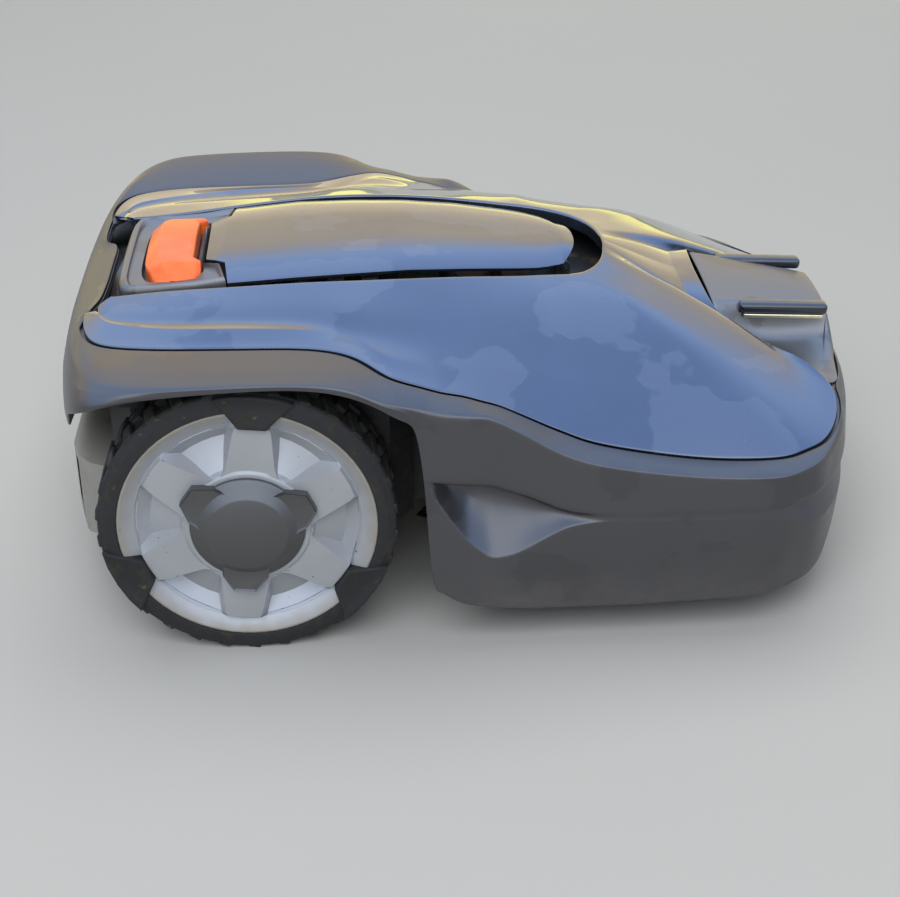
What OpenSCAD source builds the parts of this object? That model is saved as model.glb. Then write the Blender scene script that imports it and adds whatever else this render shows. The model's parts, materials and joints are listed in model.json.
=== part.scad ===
// Robotic lawn mower: a floating outer shell on a driven chassis, in millimetres.
// +X is the front, +Y the mower's left, +Z up; the origin is on the ground under the middle.

/* [Shell] */
// Overall length of the shell
body_l = 570; // [520:5:700]
// Overall width of the shell
body_w = 430; // [390:5:520]
// Wall of every moulded shell and cover
wall = 3; // [2:0.25:4]
// Seam between the gloss cover and the matte shell
seam = 2.5; // [1:0.25:4]
// How far the shell can be pushed forwards or back
float_x = 6; // [2:0.5:6]
// How far the shell can be pushed sideways
float_y = 3.5; // [1:0.5:3.5]
// How far the shell can be lifted
float_lift = 8; // [4:0.5:8]

/* [Drive wheels] */
// Tyre diameter
wheel_d = 200; // [180:2:240]
// Tyre width
wheel_w = 48; // [40:1:52]
// Seat of the tyre on the rim, diameter
rim_d = 172; // [150:2:176]
// Output shaft of each gearmotor, diameter
axle_d = 16; // [10:1:20]
// Gap from the tyre to the arch over it
arch_gap = 6; // [4:0.5:12]

/* [Casters] */
// Caster wheel diameter
caster_d = 60; // [50:1:62]
// Caster wheel width
caster_w = 34; // [26:1:36]
// Distance that the caster wheel trails behind its swivel
caster_trail = 15; // [10:1:17]
// Caster swivel stem diameter
stem_d = 16; // [12:1:20]
// Caster axle diameter
caster_axle_d = 8; // [5:1:10]

/* [Cutting unit] */
// Circle that the blade tips sweep, diameter
cut_d = 220; // [180:5:240]
// Height of the blades at rest
cut_h = 35; // [34:1:38]
// Travel of the cutting height, up and down from rest
cut_travel = 15; // [8:1:15]
// Drum of the cutting unit, diameter
drum_d = 116; // [100:2:124]

/* [Controls] */
// Travel of the stop button
stop_travel = 4; // [2:0.5:4]
// Diameter of a round key
key_d = 13; // [10:0.5:15]
// Diameter of the height knob
knob_d = 56; // [44:1:60]

/* [Fits] */
// Radial clearance of a shaft in its bore
fit = 0.05; // [0.02:0.01:0.1]
// Clearance of a guided key, button or drum
slack = 0.3; // [0.2:0.05:0.5]

/* [Hidden] */
$fn = 64;
// Design size that the shell curves below are drawn at
kx = body_l / 570;
ky = body_w / 430;
kz = (wheel_d + arch_gap) / 206;

wheel_x = -153 * kx;
wheel_r = wheel_d / 2;
// Gap from the tyre's side to the inside of the shell at its furthest push
tyre_gap = 3.5;
wheel_out = body_w / 2 - wall - float_y - tyre_gap;
wheel_in = wheel_out - wheel_w;

// Chassis heights and half widths
floor_z = 66;
split_z = 128 * kz;
lid_z = 182 * kz;
wing_z = 98;
tub_rear = -246 * kx;
tub_front = 236 * kx;
tub_side = wheel_in - 8;
tub_waist = 118 * ky;
tub_step = wheel_x + wheel_r + 12;
deck_front = 140 * kx;
corner_cut = 16;

// Cutting unit places
cut_x = 25 * kx;
disc_z = cut_h + 2;
drum_z = disc_z + 8;
drum_top = 108;

// Caster places
caster_x = 174 * kx;
caster_y = 155 * ky;
wing_r = 38;

// Floating mounts: where they stand and the heights of their sliding steps
seat_ledge = 13;
seat_lip = 4;
mount_rear = [-222 * kx, 140 * ky];
mount_front = [180 * kx, 184 * ky];
slider_h = 4;
cup_h = float_lift + 4;
stub_d = 7;

// Controls under and behind the hatch
console_rear = -243 * kx;
hinge_x = 74 * kx;
hinge_z = 203 * kz;
hinge_pin_d = 4;
panel_h = 14;
panel_z = lid_z + panel_h;
key_h = 4;
key_travel = 1;
key_play = 0.2;
key_flange_h = 2;

// ---- curves and sheets -------------------------------------------------------------------

function mix(a, b, t) = a + (b - a) * t;
function limit(v, m) = max(-m, min(m, v));
function at_size(p) = [p[0] * kx, p[1] * ky, p[2] * kz];

// A smooth curve through points, with n steps to a span
function spline_point(a, b, c, d, t) =
    0.5 * ((2 * b) + (c - a) * t + (2 * a - 5 * b + 4 * c - d) * t * t
        + (3 * b - a - 3 * c + d) * t * t * t);
function spline(p, n) = let(e = len(p) - 1)
    [for (i = [0:e - 1], s = [0:n - 1])
        spline_point(p[max(i - 1, 0)], p[i], p[i + 1], p[min(i + 2, e)], s / n),
     p[e]];

// A half outline from the rear middle to the front middle, closed round the other side
function flip(p) = [p[0], -p[1], p[2]];
function both_sides(h) = concat(h, [for (i = [len(h) - 2:-1:1]) flip(h[i])]);
// The same for a horseshoe, open at the rear
function horseshoe(h) = concat(h, [for (i = [len(h) - 2:-1:0]) flip(h[i])]);

// Points moved sideways in plan, away from the mower's middle for a positive distance
function plan_normal(p, i) = let(
        a = p[max(i - 1, 0)], b = p[min(i + 1, len(p) - 1)],
        d = [b[0] - a[0], b[1] - a[1]], l = max(norm(d), 0.01))
    [-d[1] / l, d[0] / l];
function moved_out(p, dist, drop) =
    [for (i = [0:len(p) - 1]) let(n = plan_normal(p, i), d = is_list(dist) ? dist[i] : dist)
        [p[i][0] + n[0] * d, p[i][1] + n[1] * d, p[i][2] - drop]];

// A closed sheet from rows of points: the rows wrap round the sheet's section.
// A looped sheet closes on itself, any other gets a flat end at each side.
module sheet(rows, looped) {
    m = len(rows);
    n = len(rows[0]);
    last = looped ? n - 1 : n - 2;
    skin = [for (r = [0:m - 1], i = [0:last]) let(
                a = r * n + i, b = r * n + (i + 1) % n,
                c = ((r + 1) % m) * n + (i + 1) % n, d = ((r + 1) % m) * n + i)
            each [[a, c, b], [a, d, c]]];
    near_end = [for (r = [1:m / 2 - 1]) each [
        [(r - 1) * n, (m - r) * n, r * n],
        [r * n, (m - r) * n, (m - 1 - r) * n]]];
    ends = looped ? [] : concat(near_end,
        [for (f = near_end) [f[0] + n - 1, f[2] + n - 1, f[1] + n - 1]]);
    polyhedron(points = [for (r = rows) each r], faces = concat(skin, ends), convexity = 8);
}

// ---- the shell's guide curves, drawn at the design size ----------------------------------

// Outer edge of the gloss cover along the side, from its rear corner to the tip of its prong
cover_side = [[-258, 104, 205], [-257, 122, 204.5], [-247, 138, 204.5], [-214, 146, 205],
    [-160, 149, 205], [-110, 152, 205], [-80, 166, 205], [-58, 186, 200], [-36, 190, 194],
    [-24, 190, 190], [-10, 190, 187], [2, 190, 183], [14, 190, 179], [32, 190, 170],
    [54, 190, 159], [84, 190, 147], [148, 190, 135], [200, 190, 133], [222, 182, 134],
    [240, 167, 134], [254, 140, 137], [260, 112, 142]];
// The same edge where it runs back along the prong and behind the nose
cover_nose = [[240, 92, 150], [212, 77, 160], [194, 66, 169], [182, 54, 181], [178, 26, 186],
    [177, 0, 187]];
// Edge of the opening for the hatch and the console, with as many points as the two above
opening_edge = [[-246, 72, 210], [-243, 72, 210], [-230, 71, 211], [-200, 72, 213.6],
    [-160, 76, 217], [-120, 79, 220], [-95, 80, 221], [-70, 80, 221.3], [-48, 79, 221.2],
    [-30, 77.5, 220.7], [-12, 75.5, 220], [4, 73, 219], [20, 71, 217.8], [36, 68.5, 216.5],
    [50, 66, 215.5], [64, 63, 214.3], [75, 59.5, 213], [83, 55, 212.2], [89, 49.5, 212],
    [94, 43, 212], [98, 36, 212.2], [101, 28, 212.5], [102.5, 22, 212.8], [103.5, 16, 213],
    [104.3, 11, 213.2], [104.8, 7, 213.3], [105, 3.5, 213.4], [105, 0, 213.4]];

// How far the cover has dropped at 40, 70 and 86 per cent of the way from opening to edge
drop_40 = [[0, 0.42], [6, 0.42], [9, 0.4], [14, 0.17], [17, 0.22], [20, 0.3], [24, 0.4], [27, 0.5]];
drop_70 = [[0, 0.72], [6, 0.75], [9, 0.75], [14, 0.45], [17, 0.55], [20, 0.66], [24, 0.75], [27, 0.85]];
drop_86 = [[0, 0.85], [6, 0.88], [9, 0.9], [14, 0.7], [17, 0.78], [20, 0.84], [24, 0.92], [27, 0.97]];

// Inner edge of the matte shell where no cover edge guides it: behind, then under the nose
rear_edge = [[-254, 0, 205], [-254, 32, 205], [-264, 44, 203], [-264, 74, 203], [-254, 86, 205.5]];
nose_edge = [[272, 75, 138], [277, 35, 139], [278, 0, 139]];

// Rim line of the matte shell, where its shoulder turns down into its side
rim_line = [[-279, 0, 190], [-279, 36, 190], [-277, 72, 192], [-274, 104, 195], [-269, 132, 199],
    [-261, 160, 203], [-250, 186, 206], [-236, 202, 208], [-214, 211, 209.5], [-160, 214, 210.5],
    [-112, 214, 210], [-84, 214, 206], [-62, 214, 196], [-44, 214, 191.5], [-33, 214, 188],
    [-22, 214, 185.5], [-6, 214, 184], [8, 214, 182], [32, 214, 168],
    [54, 214, 154], [86, 214, 143], [148, 213, 133], [196, 212, 130.5], [217, 204, 131],
    [234, 189, 131], [254, 155, 130], [268, 115, 130], [278, 70, 130], [282, 35, 130],
    [283, 0, 130]];
// Lower edge of the matte shell: round the back, over the wheel, and along the skirt
skirt_line = [[-283, 0, 118], [-283, 36, 118], [-282, 72, 121], [-280, 104, 129], [-275, 134, 143],
    [-267, 163, 163], [-258, 193, 182], [-245, 209, 193], [-222, 214, 201], [-160, 215, 206],
    [-112, 215, 206], [-84, 215, 200.5], [-62, 215, 189], [-45, 215, 178.5], [-37, 215, 166],
    [-32, 215, 63], [-22, 214, 46], [-6, 212, 37], [20, 211, 32],
    [60, 209, 30], [95, 209, 30], [150, 208, 31], [192, 206, 32], [216, 196, 33],
    [236, 182, 35], [252, 155, 37], [265, 115, 39], [273, 72, 40], [277, 35, 40],
    [278, 0, 40]];

// Steps to a span when a guide curve is smoothed
steps = 2;
function guide(p) = spline([for (q = p) at_size(q)], steps);

// The shell's inner edge runs one seam outside the cover's smoothed edge
function part_of(p, a, b) = [for (i = [a:b]) p[i]];
function shell_edge() = let(
        side = part_of(moved_out(guide(concat(cover_side, cover_nose)), seam, slack),
            0, steps * (len(cover_side) - 1)),
        rear = spline(concat([for (p = rear_edge) at_size(p)], [side[0]]), steps),
        nose = spline(concat([side[len(side) - 1]], [for (p = nose_edge) at_size(p)]), steps))
    concat(part_of(rear, 0, len(rear) - 2), side, part_of(nose, 1, len(nose) - 1));

function drop_at(i, keys) = lookup(i / steps, keys);

// Rows of the gloss cover from its opening to its outer edge, on the outer face
function cover_row(share, keys) = let(
        o = guide(opening_edge), g = guide(concat(cover_side, cover_nose)))
    horseshoe([for (i = [0:len(o) - 1])
        [mix(o[i][0], g[i][0], share), mix(o[i][1], g[i][1], share),
         mix(o[i][2], g[i][2], drop_at(i, keys))]]);
function cover_rows() = [
    cover_row(0, [[0, 0], [1, 0]]),
    cover_row(0.4, drop_40),
    cover_row(0.7, drop_70),
    cover_row(0.86, drop_86),
    cover_row(1, [[0, 1], [1, 1]])];
function lowered(row, d) = [for (p = row) p - [0, 0, d]];
function reversed(list) = [for (i = [len(list) - 1:-1:0]) list[i]];

// The seat is a full ledge along the cover's side and a lip behind it and at its tip
function seat_width(k) = k < len(rear_edge) || k > len(rear_edge) + len(cover_side) - 4
    ? seat_lip : seat_ledge;

// Share of the way down the shell's side, and how far the side swells out there
side_swell = [[0, 0], [0.15, 2], [0.4, 4], [0.76, 3.5], [1, 0]];
function side_row(rim, skirt, share, swell, inset) = [for (i = [0:len(rim) - 1]) let(
        p = mix(rim[i], skirt[i], share),
        d = [p[0], p[1]] / max(norm([p[0], p[1]]), 1))
    [limit(p[0] + swell * d[0], body_l / 2 - inset),
     limit(p[1] + swell * d[1], body_w / 2 - inset), p[2]]];
function side_rows(inset) = let(
        rim = moved_out(guide(rim_line), -inset, inset),
        skirt = moved_out(guide(skirt_line), -inset, 0))
    [for (s = side_swell) side_row(rim, skirt, s[0], s[1], inset)];

// The seat under the cover, and the shoulder between the shell's inner edge and its rim
shoulder_share = 0.55;
shoulder_rise = 1.2;
function seat_row(edge, drop) =
    moved_out(edge, [for (i = [0:len(edge) - 1]) -seat_width(i / steps)], wall + drop);
function between(a, b, share, rise) = [for (i = [0:len(a) - 1]) mix(a[i], b[i], share) + [0, 0, rise]];

// Half rows of the matte shell, from its seat, over its rim and down its side
function outer_rows() = let(edge = shell_edge(), side = side_rows(0))
    concat([seat_row(edge, 0), lowered(edge, wall), edge,
        between(edge, side[0], shoulder_share, shoulder_rise)], side);
function inner_rows() = let(
        edge = shell_edge(),
        step = moved_out(edge, -wall, 2 * wall),
        side = side_rows(wall))
    concat([seat_row(edge, wall), step, between(step, side[0], shoulder_share, 0)], side);

// ---- shell and its fittings --------------------------------------------------------------

module body_shell() {
    rows = concat(outer_rows(), reversed(inner_rows()));
    color("#4a4a4c") sheet([for (r = rows) both_sides(r)], true);
}

module top_cover() {
    outer = cover_rows();
    color("#2c3444") sheet(concat(outer, [for (r = reversed(outer)) lowered(r, wall)]), false);
}

// ---- more shell fittings -----------------------------------------------------------------

rail_l = 66;
rail_w = 11;
rail_h = 8;
rail_tilt = 7;
rail_at = [235 * kx, 42 * ky, 173 * kz];
strip_h = 3;

// A rail's own frame: on the side of the nose, tilted with its top face
module at_rail(side) {
    translate([rail_at[0], side * rail_at[1], rail_at[2]]) rotate([0, rail_tilt, 0]) children();
}

// The nose's outer form, or the hollow under it for an inset over 0
nose_top = [[182, 45, 182], [266, 25.5, 171.5]];
nose_foot = [[184, 48, 166], [190, 50, 150], [262, 102, 139.6], [272, 60, 139.6], [277, 28, 139.6]];
module nose_form(t) {
    hull() for (s = [-1, 1], p = concat(nose_top, nose_foot)) {
        q = at_size([p[0], s * p[1], p[2]]);
        translate([mix(q[0], rail_at[0], t / 30), q[1] * (1 - t / 30), q[2] - t]) cube(0.01, center = true);
    }
}

module nose_block() {
    color("#5a5a5e") difference() {
        nose_form(0);
        nose_form(wall);
        for (side = [-1, 1]) at_rail(side) cube([rail_l, rail_w, rail_h], center = true);
        for (side = [-1, 1]) at_rail(side) translate([0, 0, -rail_h / 2 - strip_h / 2])
            cube([rail_l - 8, rail_w, strip_h], center = true);
    }
}

module contact_rail(side) {
    color("#1c222c") at_rail(side) cube([rail_l, rail_w, rail_h], center = true);
}

module contact_strip(side) {
    color("#d8c79a") at_rail(side) translate([0, side * (rail_w / 2 - 2), -rail_h / 2 - strip_h / 2])
        cube([rail_l - 8, 3, strip_h], center = true);
}

// Heights of the two kinds of floating mount, from the seat that the shell rests by
seat_rear_z = 204.6 * kz - slack - 2 * wall - slack;
seat_front_z = 133 * kz - slack - 2 * wall - slack;
stud_l = 8;
pad_rear_z = seat_rear_z - stud_l - cup_h - slider_h;
cup_w = 16;
slider_w = 18;

// Each floating mount: its place in plan, the top of its fixed pad and the seat above it
function mounts_at() = [for (s = [-1, 1], m = [[mount_rear, pad_rear_z, seat_rear_z],
        [mount_front, wing_z, seat_front_z]]) [m[0][0], s * m[0][1], m[1], m[2]]];

module shell_studs() {
    color("#303236") for (m = mounts_at()) translate([m[0], m[1], 0]) {
        z = m[2] + slider_h + cup_h;
        translate([0, 0, z]) cylinder(h = m[3] - z, d = 11);
        translate([0, 0, z - cup_h + 2]) cylinder(h = cup_h - 1, d = stub_d - 2 * fit);
    }
}

module float_cups() {
    color("#222326") for (m = mounts_at()) translate([m[0], m[1], m[2] + slider_h])
        difference() {
            translate([-cup_w / 2, -cup_w / 2, 0]) cube([cup_w, cup_w, cup_h]);
            translate([0, 0, 1.5]) cylinder(h = cup_h, d = stub_d);
        }
}

module float_sliders() {
    color("#6e7074") for (m = mounts_at()) translate([m[0] - slider_w / 2, m[1] - slider_w / 2, m[2]])
        cube([slider_w, slider_w, slider_h]);
}

// ---- chassis -----------------------------------------------------------------------------

seal_h = 1;
screw_d = 4;
screw_at = [for (x = [-228 * kx, 224 * kx], y = [-70 * ky, 70 * ky]) [x, y]];
post_at = [for (x = [-218 * kx, -78 * kx], y = [-40 * ky, 40 * ky]) [x, y]];
low_deck_z = 166 * kz;

// A box in plan from x0 to x1 with its corners cut off, all inset by t
module cut_box(x0, x1, w, cut, t) {
    c = cut - t * (2 - sqrt(2));
    half = [[x0 + t, w - t - c], [x0 + t + c, w - t], [x1 - t - c, w - t], [x1 - t, w - t - c]];
    polygon(concat(half, [for (i = [3:-1:0]) [half[i][0], -half[i][1]]]));
}
// Plan of the chassis, inset by t
module tub_plan(t) {
    cut_box(tub_rear, tub_step, tub_side, corner_cut, t);
    cut_box(tub_rear, tub_front, tub_waist, corner_cut, t);
}
module wing_plan(t) {
    for (side = [-1, 1]) {
        translate([caster_x, side * caster_y]) circle(wing_r - t);
        translate([caster_x - wing_r + t, side > 0 ? tub_waist - wall : -caster_y])
            square([2 * (wing_r - t), caster_y - tub_waist + wall]);
    }
}

module chassis_tub() {
    collar_r = drum_d / 2 + slack;
    color("#2b2c2f") difference() {
        union() {
            difference() {
                union() {
                    translate([0, 0, floor_z]) linear_extrude(split_z - floor_z) tub_plan(0);
                    translate([0, 0, floor_z]) linear_extrude(wing_z - floor_z) wing_plan(0);
                }
                translate([0, 0, floor_z + wall]) linear_extrude(split_z) tub_plan(wall);
                translate([0, 0, floor_z + wall]) linear_extrude(wing_z - floor_z - 2 * wall)
                    wing_plan(wall);
            }
            translate([cut_x, 0, floor_z]) cylinder(h = split_z - floor_z - 8, r = collar_r + wall);
            for (p = screw_at) translate([p[0], p[1], floor_z]) cylinder(h = split_z - floor_z, r = 6);
            for (p = post_at) translate([p[0], p[1], floor_z]) cylinder(h = split_z - floor_z, r = 5);
            for (side = [-1, 1]) translate([caster_x, side * caster_y, floor_z])
                cylinder(h = wing_z - floor_z, d = stem_d + 10);
        }
        translate([cut_x, 0, floor_z - 1]) cylinder(h = split_z, r = collar_r);
        for (p = screw_at) translate([p[0], p[1], floor_z - 1]) cylinder(h = 20, d = screw_d);
        for (side = [-1, 1]) translate([caster_x, side * caster_y, floor_z - 1])
            cylinder(h = wing_z - floor_z - 3, d = stem_d);
        translate([wheel_x, 0, wheel_r]) rotate([90, 0, 0])
            cylinder(h = 2 * tub_side + 2, d = axle_d + 8, center = true);
    }
}

module chassis_seal() {
    color("#151515") translate([0, 0, split_z]) linear_extrude(seal_h) difference() {
        tub_plan(0);
        tub_plan(wall);
    }
}

module deck_plan(t) {
    cut_box(tub_rear, deck_front, tub_waist, corner_cut, t);
}
module rear_deck_plan(t) {
    cut_box(tub_rear, tub_step, tub_side, corner_cut, t);
}

// Shelf behind the lid that closes the gap round the console from below
gutter_l = 22;
module gutter_plan() {
    x = tub_rear - gutter_l;
    half = [[tub_rear + 1, tub_waist - corner_cut - 1], [tub_rear, 112 * ky], [x + 10, 112 * ky], [x, 96 * ky]];
    polygon(concat(half, [for (i = [3:-1:0]) [half[i][0], -half[i][1]]]));
}

module chassis_lid() {
    z0 = split_z + seal_h;
    color("#26272a") difference() {
        union() {
            translate([0, 0, z0]) linear_extrude(wall) tub_plan(0);
            translate([0, 0, z0]) linear_extrude(low_deck_z - z0) rear_deck_plan(0);
            translate([0, 0, z0]) linear_extrude(lid_z - z0) deck_plan(0);
            translate([0, 0, lid_z - wall]) linear_extrude(wall) gutter_plan();
            for (m = mounts_at()) if (m[0] < 0)
                translate([m[0] - slider_w / 2 - float_x, m[1] - slider_w / 2, low_deck_z - wall])
                    cube([slider_w + 2 * float_x, slider_w, m[2] - low_deck_z + wall]);
            for (side = [-1, 1]) translate([hinge_x, side * lug_y, lid_z - wall]) hinge_lug();
        }
        translate([0, 0, z0 - 1]) linear_extrude(low_deck_z - wall - z0 + 1) rear_deck_plan(wall);
        translate([0, 0, z0 - 1]) linear_extrude(lid_z - wall - z0 + 1) deck_plan(wall);
        translate([cut_x, 0, lid_z - 2 * wall]) cylinder(h = 3 * wall, d = sleeve_d);
        for (side = [-1, 1]) translate([hinge_x, side * lug_y, hinge_z]) rotate([90, 0, 0])
            cylinder(h = lug_w + 4, d = hinge_pin_d, center = true);
    }
}

module hinge_lug() {
    rise = hinge_z - lid_z + wall;
    translate([-bracket_t / 2, -lug_w / 2, 0]) cube([bracket_t, lug_w, rise]);
    translate([0, 0, rise]) rotate([90, 0, 0]) cylinder(h = lug_w, d = bracket_t, center = true);
}

module chassis_screws() {
    color("silver") for (p = screw_at) translate([p[0], p[1], floor_z]) {
        translate([0, 0, -2.5]) cylinder(h = 2.5, r = 4);
        cylinder(h = 18, d = screw_d - 2 * fit);
    }
}

tail_w = 128 * ky;
tail_wall = 4;
// Side outline and half plan outline of the tail, inset by t
module tail_side(t) {
    polygon([[tub_rear, 68 + t], [tub_rear - 12, 50 + t], [tub_rear - 28, 44 + t],
        [6 - body_l / 2 + t, 50 + t], [1 - body_l / 2 + t, 64], [1 - body_l / 2 + t, 98 * kz],
        [4 - body_l / 2 + t, 106 * kz - t], [tub_rear, 106 * kz - t]]);
}
module tail_plan() {
    half = [[tub_rear, tail_w], [tub_rear - 10, tail_w - 1], [tub_rear - 20, tail_w - 6],
        [tub_rear - 29, tail_w - 17], [tub_rear - 35, tail_w - 36], [1 - body_l / 2, tail_w - 64]];
    polygon(concat(half, [for (i = [5:-1:0]) [half[i][0], -half[i][1]]]));
}

module chassis_tail() {
    color("#8e8f90") difference() {
        intersection() {
            translate([0, tail_w, 0]) rotate([90, 0, 0]) linear_extrude(2 * tail_w) tail_side(0);
            linear_extrude(120 * kz) tail_plan();
        }
        for (i = [-2:2]) translate([0, i * tail_w / 3 + tail_w / 7, 0]) rotate([90, 0, 0])
            linear_extrude(2 * tail_w / 7) intersection() {
                tail_side(tail_wall);
                translate([-body_l / 2, 0]) square([body_l / 2 + tub_rear - tail_wall, 98 * kz]);
            }
        for (i = [-2:2]) translate([tub_rear - 32, i * tail_w / 3 - tail_w / 7, 30])
            cube([26, 2 * tail_w / 7, 40]);
    }
}

// ---- stop button and console -------------------------------------------------------------

console_w = 66 * ky;
console_top = 212 * kz;
stop_x = -204.5 * kx;
stop_l = 35;
stop_w = 92;
stop_well_z = 199 * kz;
stop_top = 218.5 * kz;
stop_stem_d = 12;
stop_crown = 5;
stop_bevel_x = 5;
stop_bevel_y = 8;
stop_room = 1;
stop_rim = 5;
stop_z = stop_well_z + stop_travel + 1;

module console_housing() {
    notch = at_size([-185.5, 35, 0]);
    shoulder = at_size([-171.5, 46, 0]);
    front = [-169 * kx, console_w];
    half = [[console_rear, 52 * ky], [console_rear + 3, 60 * ky], [console_rear + 11, console_w],
        front, [shoulder[0], shoulder[1]], [notch[0], notch[1]]];
    color("#6f7173") difference() {
        union() {
            translate([0, 0, lid_z]) linear_extrude(console_top - lid_z)
                polygon(concat(half, [for (i = [len(half) - 1:-1:0]) [half[i][0], -half[i][1]]]));
            translate([stop_x - stop_l / 2 - stop_rim, -stop_w / 2 - stop_rim, console_top - 1])
                cube([stop_l + 2 * stop_rim - 2, stop_w + 2 * stop_rim, 3]);
        }
        translate([stop_x - stop_l / 2 - stop_room, -stop_w / 2 - stop_room, stop_well_z])
            cube([stop_l + 2 * stop_room, stop_w + 2 * stop_room, 30]);
        translate([stop_x, 0, lid_z - 1]) cylinder(h = 30, d = stop_stem_d + 2 * fit);
    }
}

module stop_button() {
    color("#fc965a") {
        translate([stop_x - stop_l / 2, -stop_w / 2, stop_z])
            cube([stop_l, stop_w, stop_top - stop_z - stop_crown]);
        translate([stop_x, 0, stop_top - stop_crown]) hull() {
            translate([-stop_l / 2, -stop_w / 2, 0]) cube([stop_l, stop_w, 0.01]);
            translate([-stop_l / 2 + stop_bevel_x, -stop_w / 2 + stop_bevel_y, stop_crown - 0.01])
                cube([stop_l - 2 * stop_bevel_x, stop_w - 2 * stop_bevel_y, 0.01]);
        }
        translate([stop_x, 0, lid_z + stop_travel + 1])
            cylinder(h = stop_z - lid_z - stop_travel, d = stop_stem_d);
    }
}

module stop_spring() {
    color("silver") translate([stop_x, 0, stop_well_z]) rotate_extrude()
        translate([stop_stem_d / 2 + 1, 0]) square([2, stop_z - stop_well_z]);
}

// ---- hatch and what it covers ------------------------------------------------------------

hatch_crown = 6;
hatch_edge_w = [[-183, 70], [-160, 70.5], [-120, 72], [-80, 70.3], [-40, 67], [0, 63], [40, 56.3],
    [70, 49.7], [84, 45]];
hatch_edge_z = [[-183, 215.5], [-160, 217], [-120, 220.3], [-80, 221.5], [-40, 221.8], [0, 219.8],
    [40, 216.1], [70, 212.7], [84, 211]];
tongue = [[0, -183], [0.48, -183], [0.62, -169], [1, -166]];
hatch_front = 84;

function hatch_point(s, u) = let(
        x = mix(lookup(abs(s), tongue), hatch_front - 18 * pow(abs(s), 4), u))
    at_size([x, lookup(x, hatch_edge_w) * s, lookup(x, hatch_edge_z) + hatch_crown * (1 - s * s)]);

module hatch() {
    rows = [for (s = [-8:8]) [for (u = [0:24]) hatch_point(s / 8, u / 24)]];
    color("#2c3444") sheet(concat(rows, [for (r = reversed(rows)) lowered(r, wall)]), false);
}

bracket_w = 8;
bracket_y = 14;
bracket_t = 10;
lug_y = 24;
lug_w = 6;
// Underside of the hatch over the bracket's outer front corner
function hatch_underside(x, y) = let(s = y / (lookup(x / kx, hatch_edge_w) * ky))
    (lookup(x / kx, hatch_edge_z) + hatch_crown * (1 - s * s)) * kz - wall;

module hatch_bracket() {
    top = hatch_underside(hinge_x + bracket_t / 2, bracket_y + bracket_w / 2) - slack;
    color("#26272a") for (side = [-1, 1]) translate([hinge_x, side * bracket_y, 0]) difference() {
        union() {
            translate([-bracket_t / 2, -bracket_w / 2, hinge_z]) cube([bracket_t, bracket_w, top - hinge_z]);
            translate([0, 0, hinge_z]) rotate([90, 0, 0])
                cylinder(h = bracket_w, d = bracket_t, center = true);
        }
        translate([0, 0, hinge_z]) rotate([90, 0, 0])
            cylinder(h = bracket_w + 2, d = hinge_pin_d + 2 * fit, center = true);
    }
}

module hinge_pin() {
    color("silver") translate([hinge_x, 0, hinge_z]) rotate([90, 0, 0])
        cylinder(h = 2 * (lug_y + lug_w / 2 + 2), d = hinge_pin_d, center = true);
}

panel_x = [-158 * kx, -8 * kx];
panel_w = 50 * ky;
display_x = [-46 * kx, -16 * kx];
display_w = 34 * ky;
function key_at(i) = [(-142 + 25 * floor(i / 2)) * kx, (i % 2 == 0 ? 22 : -22) * ky];

module keypad_panel() {
    color("#35373b") difference() {
        translate([panel_x[0], -panel_w, lid_z]) cube([panel_x[1] - panel_x[0], 2 * panel_w, panel_h]);
        translate([panel_x[0] + wall, -panel_w + wall, lid_z - wall])
            cube([panel_x[1] - panel_x[0] - 2 * wall, 2 * (panel_w - wall), panel_h]);
        for (i = [0:7]) translate([key_at(i)[0], key_at(i)[1], lid_z])
            cylinder(h = 30, d = key_d + 2 * slack);
        translate([display_x[0], -display_w, panel_z - wall - 1])
            cube([display_x[1] - display_x[0], 2 * display_w, 10]);
    }
}

module key(i) {
    z = panel_z - wall;
    color("#c9cbcc") translate([key_at(i)[0], key_at(i)[1], 0]) {
        translate([0, 0, z - key_play]) cylinder(h = wall + key_h - key_travel + key_play, d = key_d);
        translate([0, 0, z - key_flange_h - key_play]) cylinder(h = key_flange_h, d = key_d + 3);
    }
}

module display_module() {
    color("#1b2a1e") translate([display_x[0] - 1, -display_w - 1, panel_z - wall - 6])
        cube([display_x[1] - display_x[0] + 2, 2 * display_w + 2, 6]);
}

module display_window() {
    color("#9fb3a5") translate([display_x[0], -display_w, panel_z - wall])
        cube([display_x[1] - display_x[0], 2 * display_w, wall - 0.5]);
}

sleeve_d = 26;
post_d = 14;
knob_h = 20;
sleeve_low = 150 * kz;

module height_knob() {
    color("#3c3e42") translate([cut_x, 0, 0]) difference() {
        union() {
            translate([0, 0, lid_z + slack]) cylinder(h = 8, d = knob_d);
            translate([-4, -knob_d / 2 + 1, lid_z + slack + 7.9]) cube([8, knob_d - 2, knob_h - 8]);
            translate([0, 0, sleeve_low]) cylinder(h = lid_z - sleeve_low + 2, d = sleeve_d - 2 * fit);
        }
        translate([0, 0, sleeve_low - 1]) cylinder(h = lid_z - sleeve_low + 5, d = post_d + 2 * fit);
    }
}

// ---- cutting unit ------------------------------------------------------------------------

disc_r = cut_d / 2 - 25;
disc_h = 3;
motor_d = 52;
shaft_d = 8;
blade_l = 36;
blade_w = 18;
blade_t = 1;
blade_play = 0.2;
screw_head_h = 2;
pivot_r = cut_d / 2 - 32;
pivot_d = 5;
hub_d = 24;
hub_flange = 6;
hub_flange_h = 2.5;
skid_run = 8;
skid_d = 2 * pivot_r - 24;
skid_h = 5;
skid_t = 2.5;
window_d = 24;
blade_z = disc_z - disc_h / 2 - 2;

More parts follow.
